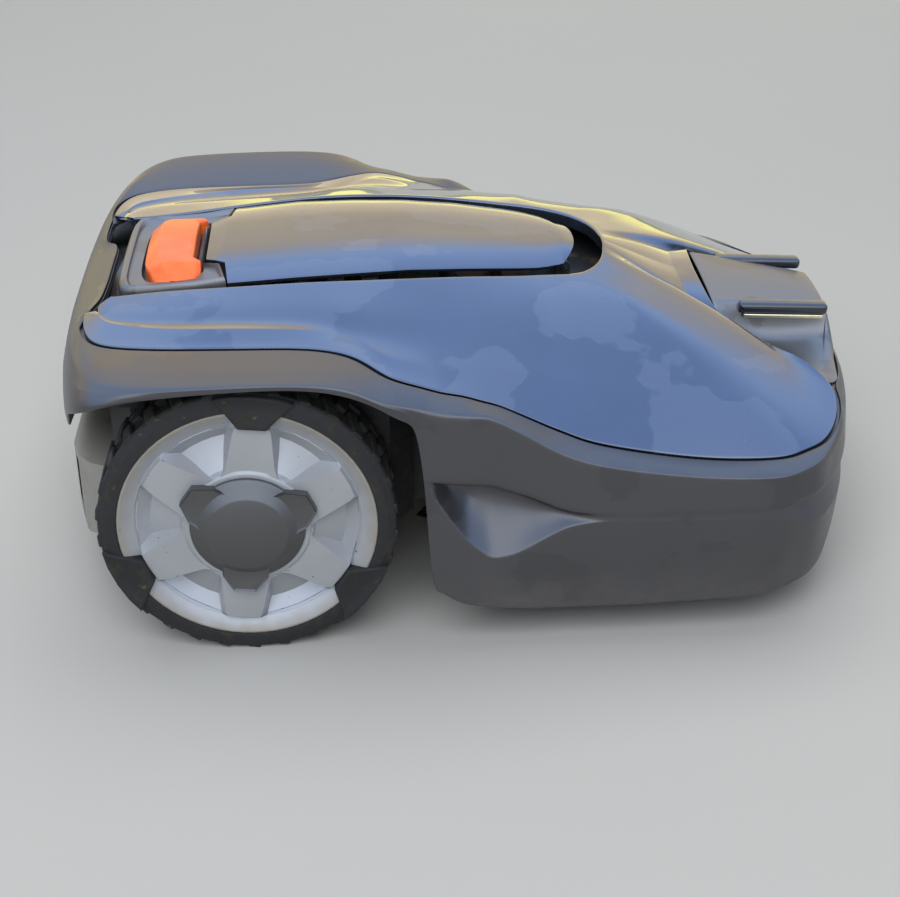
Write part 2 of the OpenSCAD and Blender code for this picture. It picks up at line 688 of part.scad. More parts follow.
module lift_post() {
    color("#55575c") translate([cut_x, 0, drum_top])
        cylinder(h = sleeve_low + cut_travel + 5 - drum_top, d = post_d);
}

module cutter_drum() {
    color("#303236") translate([cut_x, 0, 0]) difference() {
        translate([0, 0, drum_z]) cylinder(h = drum_top - drum_z, d = drum_d);
        translate([0, 0, drum_z + wall]) cylinder(h = drum_top - drum_z - 2 * wall, d = drum_d - 2 * wall);
        translate([0, 0, drum_z - 1]) cylinder(h = wall + 2, d = shaft_d + 4);
    }
}

module cutter_motor() {
    color("#7c7e82") translate([cut_x, 0, drum_z + wall]) difference() {
        cylinder(h = drum_top - drum_z - 2 * wall, d = motor_d);
        translate([0, 0, -1]) cylinder(h = 26, d = shaft_d + 2 * fit);
    }
}

module blade_disc() {
    color("#8d8f92") translate([cut_x, 0, 0]) {
        difference() {
            translate([0, 0, disc_z - disc_h / 2]) cylinder(h = disc_h, r = disc_r);
            for (i = [0:2]) rotate(i * 120 + 60) translate([disc_r * 0.6, 0, 0])
                cylinder(h = 90, d = window_d);
            for (i = [0:2]) rotate(i * 120) translate([pivot_r, 0, 0]) cylinder(h = 90, d = pivot_d);
        }
        translate([0, 0, disc_z]) cylinder(h = drum_z + 22 - disc_z, d = shaft_d);
        translate([0, 0, blade_z - skid_run]) cylinder(h = disc_z - blade_z + skid_run, d = hub_d);
        translate([0, 0, blade_z - skid_run - hub_flange_h])
            cylinder(h = hub_flange_h, d = hub_d + hub_flange);
    }
}

module blade(i) {
    color("#c4c6c8") translate([cut_x, 0, blade_z]) rotate(i * 120) difference() {
        translate([pivot_r - 4, -blade_w / 2, 0]) cube([blade_l, blade_w, blade_t]);
        translate([pivot_r, 0, -1]) cylinder(h = 3, d = pivot_d + 2 * fit);
    }
}

module blade_screws() {
    color("#55575c") translate([cut_x, 0, 0]) for (i = [0:2]) rotate(i * 120) translate([pivot_r, 0, 0]) {
        translate([0, 0, blade_z - blade_play - screw_head_h]) cylinder(h = screw_head_h, d = pivot_d + 4);
        translate([0, 0, blade_z - 1]) cylinder(h = disc_z + disc_h / 2 - blade_z + 1, d = pivot_d);
        translate([0, 0, disc_z + disc_h / 2]) cylinder(h = 3, d = pivot_d + 4);
    }
}

module skid_plate() {
    color("#3a3c40") translate([cut_x, 0, blade_z - skid_run + slack]) difference() {
        union() {
            cylinder(h = skid_t, d = skid_d);
            cylinder(h = skid_h, d = hub_d + 10);
        }
        translate([0, 0, -1]) cylinder(h = skid_h + 2, d = hub_d + 2 * fit);
    }
}

// ---- power and drive ---------------------------------------------------------------------

battery = [84, 100, 44];
motor_r = 26;
board = [172, 176, 1.6];

module battery_pack() {
    color("#3d5a80") translate([cut_x + drum_d / 2 + wall + 8, -battery[1] / 2, floor_z + wall])
        cube(battery);
}

module battery_hatch() {
    color("#232427") translate([cut_x + drum_d / 2 + wall + 4, -battery[1] / 2 - 4, floor_z - 2.5])
        cube([battery[0] + 8, battery[1] + 8, 2.5]);
}

module main_board() {
    color("#1f5c3a") translate([-148 * kx - board[0] / 2, -board[1] / 2, split_z]) cube(board);
}

module gearmotor(side) {
    color("#85878b") translate([wheel_x, 0, wheel_r]) rotate([side * -90, 0, 0]) {
        translate([0, 0, tub_side - wall - 76]) cylinder(h = 76, r = motor_r);
        translate([0, 0, tub_side - wall]) cylinder(h = wheel_out - 9 - tub_side + wall, d = axle_d);
    }
}

// A wheel's own frame: Z points outwards and 0 is its outer face
module at_wheel(side) {
    translate([wheel_x, side * wheel_out, wheel_r]) rotate([side * -90, 0, 0]) children();
}

module rim(side) {
    b = axle_d / 2 + fit;
    r = rim_d / 2;
    color("#b9bbbd") at_wheel(side) rotate_extrude() polygon([[b, -38], [b + 14, -38], [b + 16, -16],
        [r - 9, -16], [r - 7, 4 - wheel_w], [r, 4 - wheel_w], [r, -3], [r - 4, -2], [r - 22, -6],
        [b + 30, -6], [b + 24, -4], [b, -4]]);
}

module tyre(side) {
    r = rim_d / 2;
    color("#1a1a1a") at_wheel(side) rotate_extrude() polygon([[r, -wheel_w], [wheel_r - 6, -wheel_w],
        [wheel_r, 9 - wheel_w], [wheel_r, -11], [wheel_r - 3, -4], [wheel_r - 7, 0], [r + 2, 0],
        [r, -1]]);
}

cap_base_d = 76;
cap_base_h = 6;
cap_top_d = 60;
cap_top_h = 12;
cap_lobe = [21, 20, 5];
module hub_cap(side) {
    color("#3b3b3d") at_wheel(side) translate([0, 0, -4]) {
        cylinder(h = cap_base_h, d = cap_base_d);
        cylinder(h = cap_top_h, d = cap_top_d);
        for (i = [0:2]) rotate(i * 120 + 60 - 90 * side) translate([cap_top_d / 2, -cap_lobe[1] / 2, 0])
            cube(cap_lobe);
    }
}

// ---- casters -----------------------------------------------------------------------------

caster_r = caster_d / 2;
fork_gap = 1.2;
fork_t = 4;
fork_l = 14;
crown_z = caster_d + 2;
crown_h = 2.5;
collar_d = 32;
collar_h = 3.5;

module at_caster(side) {
    translate([caster_x, side * caster_y, 0]) children();
}

module caster_fork(side) {
    w = caster_w / 2 + fork_gap;
    rear = -caster_trail - fork_l / 2;
    color("#2e2f32") at_caster(side) {
        translate([0, 0, crown_z]) cylinder(h = collar_h, d = collar_d);
        translate([0, 0, crown_z]) cylinder(h = wing_z - 4 - crown_z, d = stem_d - 2 * fit);
        for (s = [-1, 1]) translate([rear, s > 0 ? w : -w - fork_t, caster_r - fork_l / 2])
            cube([fork_l, fork_t, crown_z - caster_r + fork_l / 2]);
        translate([rear, -w - fork_t, crown_z - 0.1])
            cube([fork_l / 2 - rear, 2 * (w + fork_t), crown_h + 0.1]);
        translate([-caster_trail, 0, caster_r]) rotate([90, 0, 0])
            cylinder(h = 2 * w + fork_t, d = caster_axle_d, center = true);
    }
}

module caster_wheel(side) {
    b = caster_axle_d / 2 + fit;
    h = caster_w / 2;
    color("#1d1d1e") at_caster(side) translate([-caster_trail, 0, caster_r]) rotate([90, 0, 0])
        rotate_extrude() polygon([[b, -h], [caster_r - 6, -h], [caster_r - 2, -h * 0.7],
            [caster_r, -h * 0.3], [caster_r, h * 0.3], [caster_r - 2, h * 0.7],
            [caster_r - 6, h], [b, h]]);
}

// ---- which sub-part to draw --------------------------------------------------------------

body_shell();
top_cover();
nose_block();
contact_rail(1);  // contact_rail_left
contact_rail(-1);  // contact_rail_right
contact_strip(1);  // contact_strip_left
contact_strip(-1);  // contact_strip_right
shell_studs();
float_sliders();
float_cups();
chassis_tub();
chassis_lid();
chassis_seal();
chassis_screws();
chassis_tail();
console_housing();
stop_button();
stop_spring();
hatch();
hatch_bracket();
hinge_pin();
keypad_panel();
display_module();
display_window();
key(0);  // key_power
key(1);  // key_start
key(2);  // key_park
key(3);  // key_up
key(4);  // key_down
key(5);  // key_back
key(6);  // key_ok
key(7);  // key_menu
height_knob();
lift_post();
cutter_drum();
cutter_motor();
blade_disc();
blade(0);  // blade_1
blade(1);  // blade_2
blade(2);  // blade_3
blade_screws();
skid_plate();
battery_pack();
battery_hatch();
main_board();
gearmotor(1);  // gearmotor_left
gearmotor(-1);  // gearmotor_right
rim(1);  // rim_left
rim(-1);  // rim_right
tyre(1);  // tyre_left
tyre(-1);  // tyre_right
hub_cap(1);  // hub_cap_left
hub_cap(-1);  // hub_cap_right
caster_fork(1);  // caster_fork_left
caster_fork(-1);  // caster_fork_right
caster_wheel(1);  // caster_wheel_left
caster_wheel(-1);  // caster_wheel_right
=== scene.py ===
# %% [markdown]
# # A robotic lawn mower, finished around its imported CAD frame
# The frame holds every mechanical piece at its real size. This script gives each of them a
# finish, and builds finer meshes for the mouldings that the eye lands on: the floating shell, its
# gloss cover, the hatch, the nose, the stop button and the drive wheels. All of it is in metres
# in the frame's own axes, +X forwards, +Y to the mower's left and +Z up.

# %% Load the frame
import json
from math import atan2, cos, hypot, pi, radians, sin

import bmesh
import bpy
from mathutils import Matrix, Vector


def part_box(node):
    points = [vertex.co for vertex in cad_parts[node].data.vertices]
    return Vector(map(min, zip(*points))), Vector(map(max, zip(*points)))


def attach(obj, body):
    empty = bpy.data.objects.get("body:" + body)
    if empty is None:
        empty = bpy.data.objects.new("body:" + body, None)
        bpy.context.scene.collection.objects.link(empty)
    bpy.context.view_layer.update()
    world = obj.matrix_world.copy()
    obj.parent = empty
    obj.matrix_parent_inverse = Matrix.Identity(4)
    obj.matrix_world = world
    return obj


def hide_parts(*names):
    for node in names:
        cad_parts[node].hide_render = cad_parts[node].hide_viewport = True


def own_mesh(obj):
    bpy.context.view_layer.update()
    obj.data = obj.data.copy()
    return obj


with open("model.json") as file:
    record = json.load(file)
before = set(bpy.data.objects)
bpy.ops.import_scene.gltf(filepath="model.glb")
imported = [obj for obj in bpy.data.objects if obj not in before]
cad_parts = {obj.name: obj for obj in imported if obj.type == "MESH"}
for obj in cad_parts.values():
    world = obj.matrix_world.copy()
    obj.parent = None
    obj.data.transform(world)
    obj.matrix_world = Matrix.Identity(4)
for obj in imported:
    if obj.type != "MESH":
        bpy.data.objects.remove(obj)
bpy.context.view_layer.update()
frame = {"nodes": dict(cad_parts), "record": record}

nodes = frame["nodes"]
MM = 0.001
print("nodes in the frame:", len(nodes))

# %% [markdown]
# ## Camera
# The picture was taken from standing height beside the right rear wheel, with a mild telephoto
# view. The camera was fitted to features of the photo by aim alone: the horizon is above the
# picture, and no lens shift is needed. The points are pixels of the 900 by 897 picture.
# Seven are read on the photo, and skirt_front_of_wheel is read there at the height at which the
# model shows it. Five stand where the model shows them, because the CAD box or the looks put them
# elsewhere: object_left_x, hatch_nose, cover_lowest, scoop_corner and cover_rear_end. The offsets
# of those five are near zero by that choice, and say nothing of the photo.

# %% Image points
WIDTH, HEIGHT = 900, 897
LONG_SIDE = max(WIDTH, HEIGHT)
image_points = {
    "object_left_x": 63, "object_right_x": 843, "object_top_y": 149, "object_bottom_y": 652,
    "hub_centre": (247, 532), "hatch_nose": (574, 242), "hatch_rear_corner": (230, 283),
    "stop_front_corner": (198, 274), "rail_front_end": (827, 307), "cover_lowest": (741, 459),
    "skirt_front_of_wheel": (430, 566), "scoop_corner": (430, 482), "cover_rear_end": (83, 325),
}

# %% Camera from named values
camera_place = Vector((-74.7, -1131.0, 687.4)) * MM
camera_yaw = 0.0597
camera_pitch = 0.5202
camera_roll = -0.0012
camera_data = bpy.data.cameras.new("camera")
camera_data.sensor_fit = "AUTO"
camera_data.sensor_width = 36
camera_data.lens = 66.14
camera_data.shift_x = 0
camera_data.shift_y = 0
camera = bpy.data.objects.new("camera", camera_data)
bpy.context.scene.collection.objects.link(camera)
camera_turn = (Matrix.Rotation(-camera_yaw, 4, "Z") @ Matrix.Rotation(pi / 2 - camera_pitch, 4, "X")
               @ Matrix.Rotation(camera_roll, 4, "Z"))
camera.matrix_world = Matrix.Translation(camera_place) @ camera_turn
bpy.context.scene.camera = camera
print("camera stands", round(camera_place.length, 2), "m from the middle of the mower")


def seen_at(place):
    """The pixel at which a place in the frame shows."""
    x, y, z = (Matrix.Translation(camera_place) @ camera_turn).inverted() @ Vector(place)
    reach = LONG_SIDE * camera_data.lens / camera_data.sensor_width / -z
    return (WIDTH / 2 - camera_data.shift_x * LONG_SIDE + x * reach,
            HEIGHT / 2 + camera_data.shift_y * LONG_SIDE - y * reach)

# %% [markdown]
# ## Floor and light
# A pale floor and broad soft lamps stand in for the lawn and the open sky. The strongest lamp is
# high on the camera's side, as the sky was, so faces that lean up are lighter than upright ones.
# The lamps are left out of mirror reflections: those show the painted sky further down instead,
# which has no hard borders.


# %% Floor
FLOOR_HALF = 6


def new_object(name, mesh):
    """Turns a finished bmesh into an object at the origin, and frees it."""
    data = bpy.data.meshes.new(name)
    mesh.to_mesh(data)
    mesh.free()
    made = bpy.data.objects.new(name, data)
    bpy.context.scene.collection.objects.link(made)
    return made


floor_mesh = bmesh.new()
bmesh.ops.create_grid(floor_mesh, x_segments=1, y_segments=1, size=FLOOR_HALF)
floor = new_object("floor", floor_mesh)


# %% Lamps
def softbox(name, place, size, power, colour, aim=(0, 0, 0.12)):
    """A square area lamp that faces the mower."""
    data = bpy.data.lights.new(name, "AREA")
    data.shape = "RECTANGLE"
    data.size, data.size_y = size
    data.energy = power
    data.color = colour
    lamp = bpy.data.objects.new(name, data)
    lamp.location = place
    lamp.visible_glossy = False
    lamp.rotation_mode = "QUATERNION"
    lamp.rotation_quaternion = (Vector(aim) - Vector(place)).to_track_quat("-Z", "Y")
    bpy.context.scene.collection.objects.link(lamp)


softbox("sky_panel", (-0.5, -2.5, 2.7), (3.0, 2.4), 120, (0.97, 0.98, 1.0))
softbox("overhead_panel", (-0.2, 0.6, 3.2), (3.0, 2.4), 55, (1.0, 0.98, 0.95))
softbox("far_panel", (0.9, 3.0, 0.9), (3.4, 0.8), 22, (1.0, 0.95, 0.70))
bpy.context.scene.view_settings.view_transform = "Standard"

# %% [markdown]
# ## Finishes
# Every finish is a node tree on the Principled shader, fed by Object coordinates, so a pattern
# keeps its real size and stays with its piece. One small class wraps a socket: arithmetic written
# in Python adds the Math nodes, which reads better than a page of links.


# %% A socket that does arithmetic
class Wire:
    """An output socket in a finish, on which Python's operators add Math nodes."""

    def __init__(self, finish, socket):
        self.finish = finish
        self.socket = socket

    def math(self, operation, first, second):
        return self.finish.add("ShaderNodeMath", {"operation": operation}, {0: first, 1: second})

    def __add__(self, other):
        return self.math("ADD", self, other)

    def __radd__(self, other):
        return self.math("ADD", other, self)

    def __sub__(self, other):
        return self.math("SUBTRACT", self, other)

    def __rsub__(self, other):
        return self.math("SUBTRACT", other, self)

    def __mul__(self, other):
        return self.math("MULTIPLY", self, other)

    def __rmul__(self, other):
        return self.math("MULTIPLY", other, self)


# %% A finish and its nodes
class Finish:
    """A material's node tree, built node by node."""

    def __init__(self, owner, shader="Principled BSDF", place="Object"):
        owner.use_nodes = True
        self.tree = owner.node_tree
        self.shader = self.tree.nodes[shader]
        self.place = self.add("ShaderNodeTexCoord", out=place)

    def put(self, socket, value):
        """Links a wire to an input, or sets the number or colour on it."""
        if isinstance(value, Wire):
            self.tree.links.new(value.socket, socket)
        elif socket.type == "RGBA":
            socket.default_value = (*value, 1)
        else:
            socket.default_value = value

    def add(self, kind, settings=None, inputs=None, out=0):
        """Adds one node: its settings first, then its inputs."""
        node = self.tree.nodes.new(kind)
        for key, value in (settings or {}).items():
            setattr(node, key, value)
        for key, value in (inputs or {}).items():
            self.put(node.inputs[key], value)
        return Wire(self, node.outputs[out])

    def noise(self, size, detail=3, rough=0.55, stretch=(1, 1, 1), seed=0.0):
        """Cloudy noise whose blotches are about so many metres across."""
        spot = self.add("ShaderNodeMapping", {}, {"Vector": self.place, "Scale": stretch,
                                                   "Location": (seed, seed * 0.7, -seed)})
        return self.add("ShaderNodeTexNoise", {}, {"Vector": spot, "Scale": 1 / size,
                                                    "Detail": detail, "Roughness": rough})

    def rise(self, value, low, high):
        """0 below low, 1 above high, smooth between. It falls where low is the higher one."""
        return self.add("ShaderNodeMapRange", {"interpolation_type": "SMOOTHSTEP"},
                        {"Value": value, "From Min": low, "From Max": high})

    def mix(self, share, first, second):
        """A colour between two colours."""
        return self.add("ShaderNodeMix", {"data_type": "RGBA"}, {0: share, 6: first, 7: second}, 2)

    def axis(self, letter):
        """One of the three Object coordinates."""
        return self.add("ShaderNodeSeparateXYZ", {}, {"Vector": self.place}, letter)

    def set(self, **values):
        """Sets or links the shader's inputs, an underscore standing for a space."""
        for key, value in values.items():
            self.put(self.shader.inputs[key.replace("_", " ")], value)

    def bump(self, height, depth):
        """Bumps of so many metres, from a height of 0 to 1, into the shader's normal."""
        self.set(Normal=self.add("ShaderNodeBump", {}, {"Height": height, "Distance": depth}))


def shade(red, green, blue):
    """A colour from its 0 to 255 values on screen."""
    return tuple(((part / 255 + 0.055) / 1.055) ** 2.4 for part in (red, green, blue))


finishes = {}

# %% [markdown]
# ### The sky that the gloss mirrors
# The same class paints the world. It is blue overhead and towards the camera, a dim tan where
# trees stood behind the mower, and a bright yellow green low behind it, where the sun was on the
# lawn. That last band is what edges the far side of the cover with light.


# %% Sky
def painted_sky(f):
    behind, height = f.axis("Y"), f.axis("Z")
    open_sky = f.rise(height - behind * 0.45, -0.03, 0.24) * f.rise(height, -0.02, 0.25)
    lawn = f.rise(behind, 0.75, 0.92) * f.rise(height, 0.08, 0.0) * 0.8
    streak = f.noise(0.25, 5, 0.7, (1, 1, 2.5), 2.0)
    far_trees = f.mix(streak, shade(124, 113, 94), shade(172, 158, 134))
    trees = f.mix(f.rise(behind, 0.0, 0.5), shade(70, 70, 62), far_trees)
    blue = f.mix(f.rise(behind, -0.5, -0.85), shade(140, 164, 200), shade(206, 214, 226))
    mirrored_light = f.add("ShaderNodeLightPath", out="Is Glossy Ray")
    straight = f.add("ShaderNodeLightPath", out="Is Camera Ray")
    painted = f.mix(open_sky, f.mix(lawn, trees, shade(190, 184, 104)), blue)
    f.set(Color=f.mix(mirrored_light, shade(222, 226, 232), painted),
          Strength=0.22 + mirrored_light * 3.7 + straight * 0.5)


world = bpy.data.worlds.new("sky")
bpy.context.scene.world = world
painted_sky(Finish(world, "Background", "Generated"))

# %% [markdown]
# ### The matte shell
# The lower shell is graphite plastic with a fine spark texture. Rain has left darker patches with
# crisp borders on it, and the turf has thrown dust at its lower edge. The spark texture is a tiny
# bump, the patches are noise cut off sharply, and the dust fades out with height.


# %% Shell finish
def flaked(f, low, high, rough, dirt=0.3):
    """Plastic with metal flake in it: dark where it faces the ground, light where it faces up."""
    cloud = f.noise(0.16, 4, seed=3.1)
    wet = f.rise(f.noise(0.06, 4, 0.5, (1, 1, 1.6), 1.7), 0.56, 0.575)
    dust = f.rise(f.axis("Z") + f.noise(0.03, 5) * 0.05, 0.10, 0.045)
    base = f.mix(wet * 0.35, f.mix(cloud, low, high), shade(76, 76, 80))
    f.set(Base_Color=f.mix(dust * f.rise(f.noise(0.008, 6, 0.7), 0.35, 0.7) * dirt, base,
                           shade(118, 108, 92)),
          Metallic=0.72 - dust * 0.3, Roughness=rough - wet * 0.08 + dust * 0.2 + cloud * 0.05)
    f.bump(f.noise(0.0007, 2, 0.6) + f.noise(0.004, 2) * 0.3, 0.00003)


def shell_matte(f):
    flaked(f, shade(82, 82, 85), shade(92, 91, 93), 0.34)


# %% [markdown]
# ### The gloss cover
# The cover and hatch are slate plastic under a clear lacquer, so they get a metallic-looking base
# and a coat over it. Dried rain shows as faint flat patches, and mowing has left hair scratches.


# %% Cover finish
def cover_gloss(f):
    film = f.rise(f.noise(0.11, 4, 0.5, (1, 1.3, 1), 5.3), 0.50, 0.515)
    haze = f.noise(0.05, 5, 0.6, seed=2.2)
    speck = f.rise(f.noise(0.004, 2, 0.5, seed=8), 0.70, 0.74)
    base = f.mix(haze, shade(60, 70, 90), shade(70, 80, 100))
    marked = f.mix(film * 0.35, base, shade(100, 106, 118))
    f.set(Base_Color=f.mix(speck * 0.35, marked, shade(120, 118, 112)),
          Metallic=0.8, Roughness=0.17 + film * 0.08 + haze * 0.05,
          Coat_Weight=1.0 - speck * 0.5, Coat_Roughness=0.03, Coat_IOR=1.5)


# %% [markdown]
# ### The other plastics, rubbers and metals
# Each remaining finish follows the same lesson: a base colour that drifts a little, a roughness
# that drifts with it, and a bump at the true scale of the grain, brushing or dirt.


# %% Moulded plastics
def moulded(f, low, high, rough, grain, dirt=0.25):
    """A grained plastic between two colours, with dust caught in its blotches."""
    cloud = f.noise(0.09, 4, seed=2.7)
    dust = f.rise(f.noise(0.02, 6, 0.68, seed=6.1), 0.52, 0.72)
    f.set(Base_Color=f.mix(dust * dirt, f.mix(cloud, low, high), shade(126, 116, 98)),
          Roughness=rough + cloud * 0.10 + dust * 0.12)
    f.bump(f.noise(grain, 3, 0.6), grain * 0.05)


def nose_grey(f):
    flaked(f, shade(112, 112, 113), shade(122, 121, 121), 0.36)


def chassis_dark(f):
    moulded(f, shade(30, 30, 31), shade(42, 42, 42), 0.52, 0.0014, 0.30)


def tail_grey(f):
    moulded(f, shade(136, 135, 130), shade(156, 155, 150), 0.50, 0.0012, 0.45)


def console_grey(f):
    flaked(f, shade(118, 117, 116), shade(128, 127, 126), 0.38)


def cap_dark(f):
    flaked(f, shade(90, 90, 91), shade(98, 98, 98), 0.38, 0.15)


def key_grey(f):
    moulded(f, shade(176, 178, 178), shade(192, 193, 192), 0.55, 0.0008, 0.10)


def stop_orange(f):
    pale = f.rise(f.noise(0.03, 4, 0.6, seed=4.2), 0.45, 0.7)
    f.set(Base_Color=f.mix(pale, shade(246, 106, 36), shade(250, 128, 64)),
          Roughness=0.36 + pale * 0.12, Coat_Weight=0.25, Coat_Roughness=0.2)
    f.bump(f.noise(0.0011, 3, 0.6), 0.00005)


# %% Rim plastic
def rim_silver(f):
    """Painted plastic, with earth washed out to its edge and flecks of cut grass."""
    out = f.add("ShaderNodeVectorMath", {"operation": "SUBTRACT"},
                {0: f.place, 1: (-0.153, 0, 0.1)})
    out = f.add("ShaderNodeVectorMath", {"operation": "MULTIPLY"}, {0: out, 1: (1, 0, 1)})
    radius = f.add("ShaderNodeVectorMath", {"operation": "LENGTH"}, {0: out}, "Value")
    edge = f.rise(radius + f.noise(0.012, 5, 0.65) * 0.012, 0.082, 0.093)
    fleck = f.rise(f.noise(0.0045, 2, 0.5, (1, 1, 1.4), 3), 0.74, 0.76)
    cloud = f.noise(0.05, 4, 0.6)
    base = f.mix(cloud, shade(152, 155, 160), shade(174, 177, 182))
    earth = f.mix(edge * 0.7, base, f.mix(f.noise(0.006, 6, 0.7), shade(128, 116, 94),
                                          shade(168, 160, 142)))
    f.set(Base_Color=f.mix(fleck * 0.8, earth, shade(72, 68, 50)),
          Roughness=0.42 + edge * 0.25, Metallic=0.32)
    f.bump(f.noise(0.0009, 3, 0.6), 0.00005)


# %% Rubbers
def tyre_black(f):
    mud = f.rise(f.noise(0.012, 7, 0.72, seed=1.3), 0.50, 0.66)
    cloud = f.noise(0.03, 5, 0.6)
    green = f.rise(f.noise(0.006, 3, 0.5, seed=9), 0.68, 0.72)
    base = f.mix(cloud, shade(20, 20, 20), shade(33, 32, 31))
    muddy = f.mix(mud * 0.45, base, shade(74, 67, 56))
    f.set(Base_Color=f.mix(green * 0.35, muddy, shade(104, 110, 60)),
          Roughness=0.72 + mud * 0.2)
    f.bump(f.noise(0.0016, 5, 0.7) + mud * 0.6, 0.00035)


def seal_rubber(f):
    cloud = f.noise(0.02, 4, 0.6)
    f.set(Base_Color=f.mix(cloud, shade(24, 24, 24), shade(34, 34, 34)),
          Roughness=0.62 + cloud * 0.15)
    f.bump(f.noise(0.0012, 3), 0.0001)


# %% Metals
def metal(f, low, high, rough, stretch, size=0.01):
    """Metal with fine lines where it was ground or brushed."""
    line = f.noise(size, 5, 0.7, stretch)
    stain = f.rise(f.noise(0.02, 5, 0.65, seed=7.3), 0.55, 0.75)
    f.set(Base_Color=f.mix(stain * 0.4, f.mix(line, low, high), shade(96, 84, 70)),
          Metallic=1.0, Roughness=rough + line * 0.12 + stain * 0.2)
    f.bump(line, 0.00006)


def steel(f):
    metal(f, shade(168, 168, 170), shade(200, 200, 202), 0.26, (1, 1, 12))


def blade_steel(f):
    metal(f, shade(180, 181, 184), shade(214, 214, 216), 0.20, (1, 14, 1))


def motor_metal(f):
    metal(f, shade(126, 127, 130), shade(150, 151, 153), 0.42, (3, 3, 3), 0.004)


def contact_brass(f):
    metal(f, shade(226, 208, 160), shade(246, 232, 196), 0.24, (14, 1, 1))


def rail_black(f):
    smear = f.noise(0.02, 5, 0.6)
    f.set(Base_Color=f.mix(smear, shade(22, 25, 32), shade(36, 40, 50)),
          Roughness=0.16 + smear * 0.14, Coat_Weight=0.7, Coat_Roughness=0.06)
    f.bump(f.noise(0.02, 2), 0.0001)


# %% Electrics
def display_glass(f):
    grid = f.add("ShaderNodeTexChecker", {}, {"Vector": f.place, "Scale": 1600}, "Fac")
    f.set(Base_Color=f.mix(grid * 0.25, shade(150, 168, 154), shade(128, 146, 134)),
          Roughness=0.12 + f.noise(0.01, 4) * 0.08, Coat_Weight=0.6)


def board_green(f):
    track = f.add("ShaderNodeTexBrick", {"offset": 0.3}, {"Vector": f.place, "Scale": 160}, "Fac")
    f.set(Base_Color=f.mix(track, shade(18, 74, 40), shade(58, 122, 70)),
          Roughness=0.34 + f.noise(0.01, 4) * 0.1)
    f.bump(track, 0.00008)


def floor_pale(f):
    cloud = f.noise(0.5, 3)
    f.set(Base_Color=f.mix(cloud, shade(178, 179, 178), shade(184, 184, 182)),
          Roughness=0.8 + cloud * 0.05)


def battery_blue(f):
    wrap = f.noise(0.015, 5, 0.6, (1, 4, 1))
    f.set(Base_Color=f.mix(wrap, shade(52, 78, 112), shade(70, 98, 134)),
          Roughness=0.30 + wrap * 0.12)
    f.bump(wrap, 0.0003)


# %% Give every node of the frame its finish
finish_makers = [
    shell_matte, cover_gloss, nose_grey, rail_black, contact_brass, chassis_dark, tail_grey,
    seal_rubber, steel, console_grey, stop_orange, key_grey, display_glass, board_green,
    battery_blue, motor_metal, blade_steel, rim_silver, tyre_black, cap_dark, floor_pale]
for maker in finish_makers:
    material = bpy.data.materials.new(maker.__name__)
    maker(Finish(material))
    finishes[maker.__name__] = material

slot_of = {part["node"]: part["material_slot"] for part in frame["record"]["subparts"]}
for name, node in nodes.items():
    node.data.materials.clear()
    node.data.materials.append(finishes[slot_of[name]])
floor.data.materials.append(finishes["floor_pale"])
print("finishes made:", len(finishes))

# %% [markdown]
# ## The shells
# The shell and its cover are thin mouldings whose form is carried by a few lines: the edge of the
# opening, the crest over the wheels, the gap between gloss and matte, the rim and the skirt. So
# each is laid as a grid over rows of guide points, right round its section from the outer face to
# the inner one, and a subdivision surface fairs it. Rows close to a lip keep that lip crisp. The
# cover is symmetrical, so its left half is laid and mirrored. The matte shell has a finger recess
# on its left only, so both its halves are laid, in one grid.


# %% Curves and rows
def curve(points, steps=3):
    """A smooth curve in metres through points in millimetres, with so many steps to a span."""
    points = [Vector(p) * MM for p in points]
    last = len(points) - 1
    made = []
    for i in range(last):
        a, b, c, d = points[max(i - 1, 0)], points[i], points[i + 1], points[min(i + 2, last)]
        for step in range(steps):
            t = step / steps
            made.append(0.5 * (2 * b + (c - a) * t + (2 * a - 5 * b + 4 * c - d) * t ** 2
                               + (3 * b - a - 3 * c + d) * t ** 3))
    return made + [points[last]]


def lookup(table, at):
    """A value read from a table of rising keys, in a straight line between two of them."""
    for (low, first), (high, second) in zip(table, table[1:]):
        if at <= high:
            share = max(0, (at - low) / (high - low))
            return first + (second - first) * share
    return table[-1][1]


def moved_out(row, distance, drop=0.0):
    """A row moved sideways in plan, away from the mower's middle for a distance over 0."""
    made = []
    for i, place in enumerate(row):
        along = row[min(i + 1, len(row) - 1)] - row[max(i - 1, 0)]
        out = Vector((-along.y, along.x, 0))
        out = out.normalized() if out.length > 1e-6 else Vector((0, 0, 0))
        reach = distance[i] if isinstance(distance, list) else distance
        made.append(place + out * reach - Vector((0, 0, drop)))
    return made


def between(first, second, share, rise=0.0):
    """The row that lies a share of the way from one row to another."""
    return [a.lerp(b, share[i] if isinstance(share, list) else share) + Vector((0, 0, rise))
            for i, (a, b) in enumerate(zip(first, second))]


def beside(first, second, distance):
    """The row that lies a short distance from one row on the way to another."""
    made = []
    for i, (a, b) in enumerate(zip(first, second)):
        reach = distance[i] if isinstance(distance, list) else distance
        made.append(a.lerp(b, min(0.45, reach / max((b - a).length, 1e-5))))
    return made


def lay(rows):
    """A grid laid over rows of places."""
    mesh = bmesh.new()
    mesh.edges.layers.float.new("crease_edge")
    along, across = len(rows[0]) - 1, len(rows) - 1
    bmesh.ops.create_grid(mesh, x_segments=along, y_segments=across, size=1)
    for vert in mesh.verts:
        column = round((vert.co.x + 1) / 2 * along)
        row = round((vert.co.y + 1) / 2 * across)
        vert.co = rows[row][column]
    return mesh


def close_up(mesh, merge=2e-5):
    """Merges doubled places and turns every face outwards."""
    bmesh.ops.remove_doubles(mesh, verts=mesh.verts, dist=merge)
    bmesh.ops.recalc_face_normals(mesh, faces=mesh.faces)


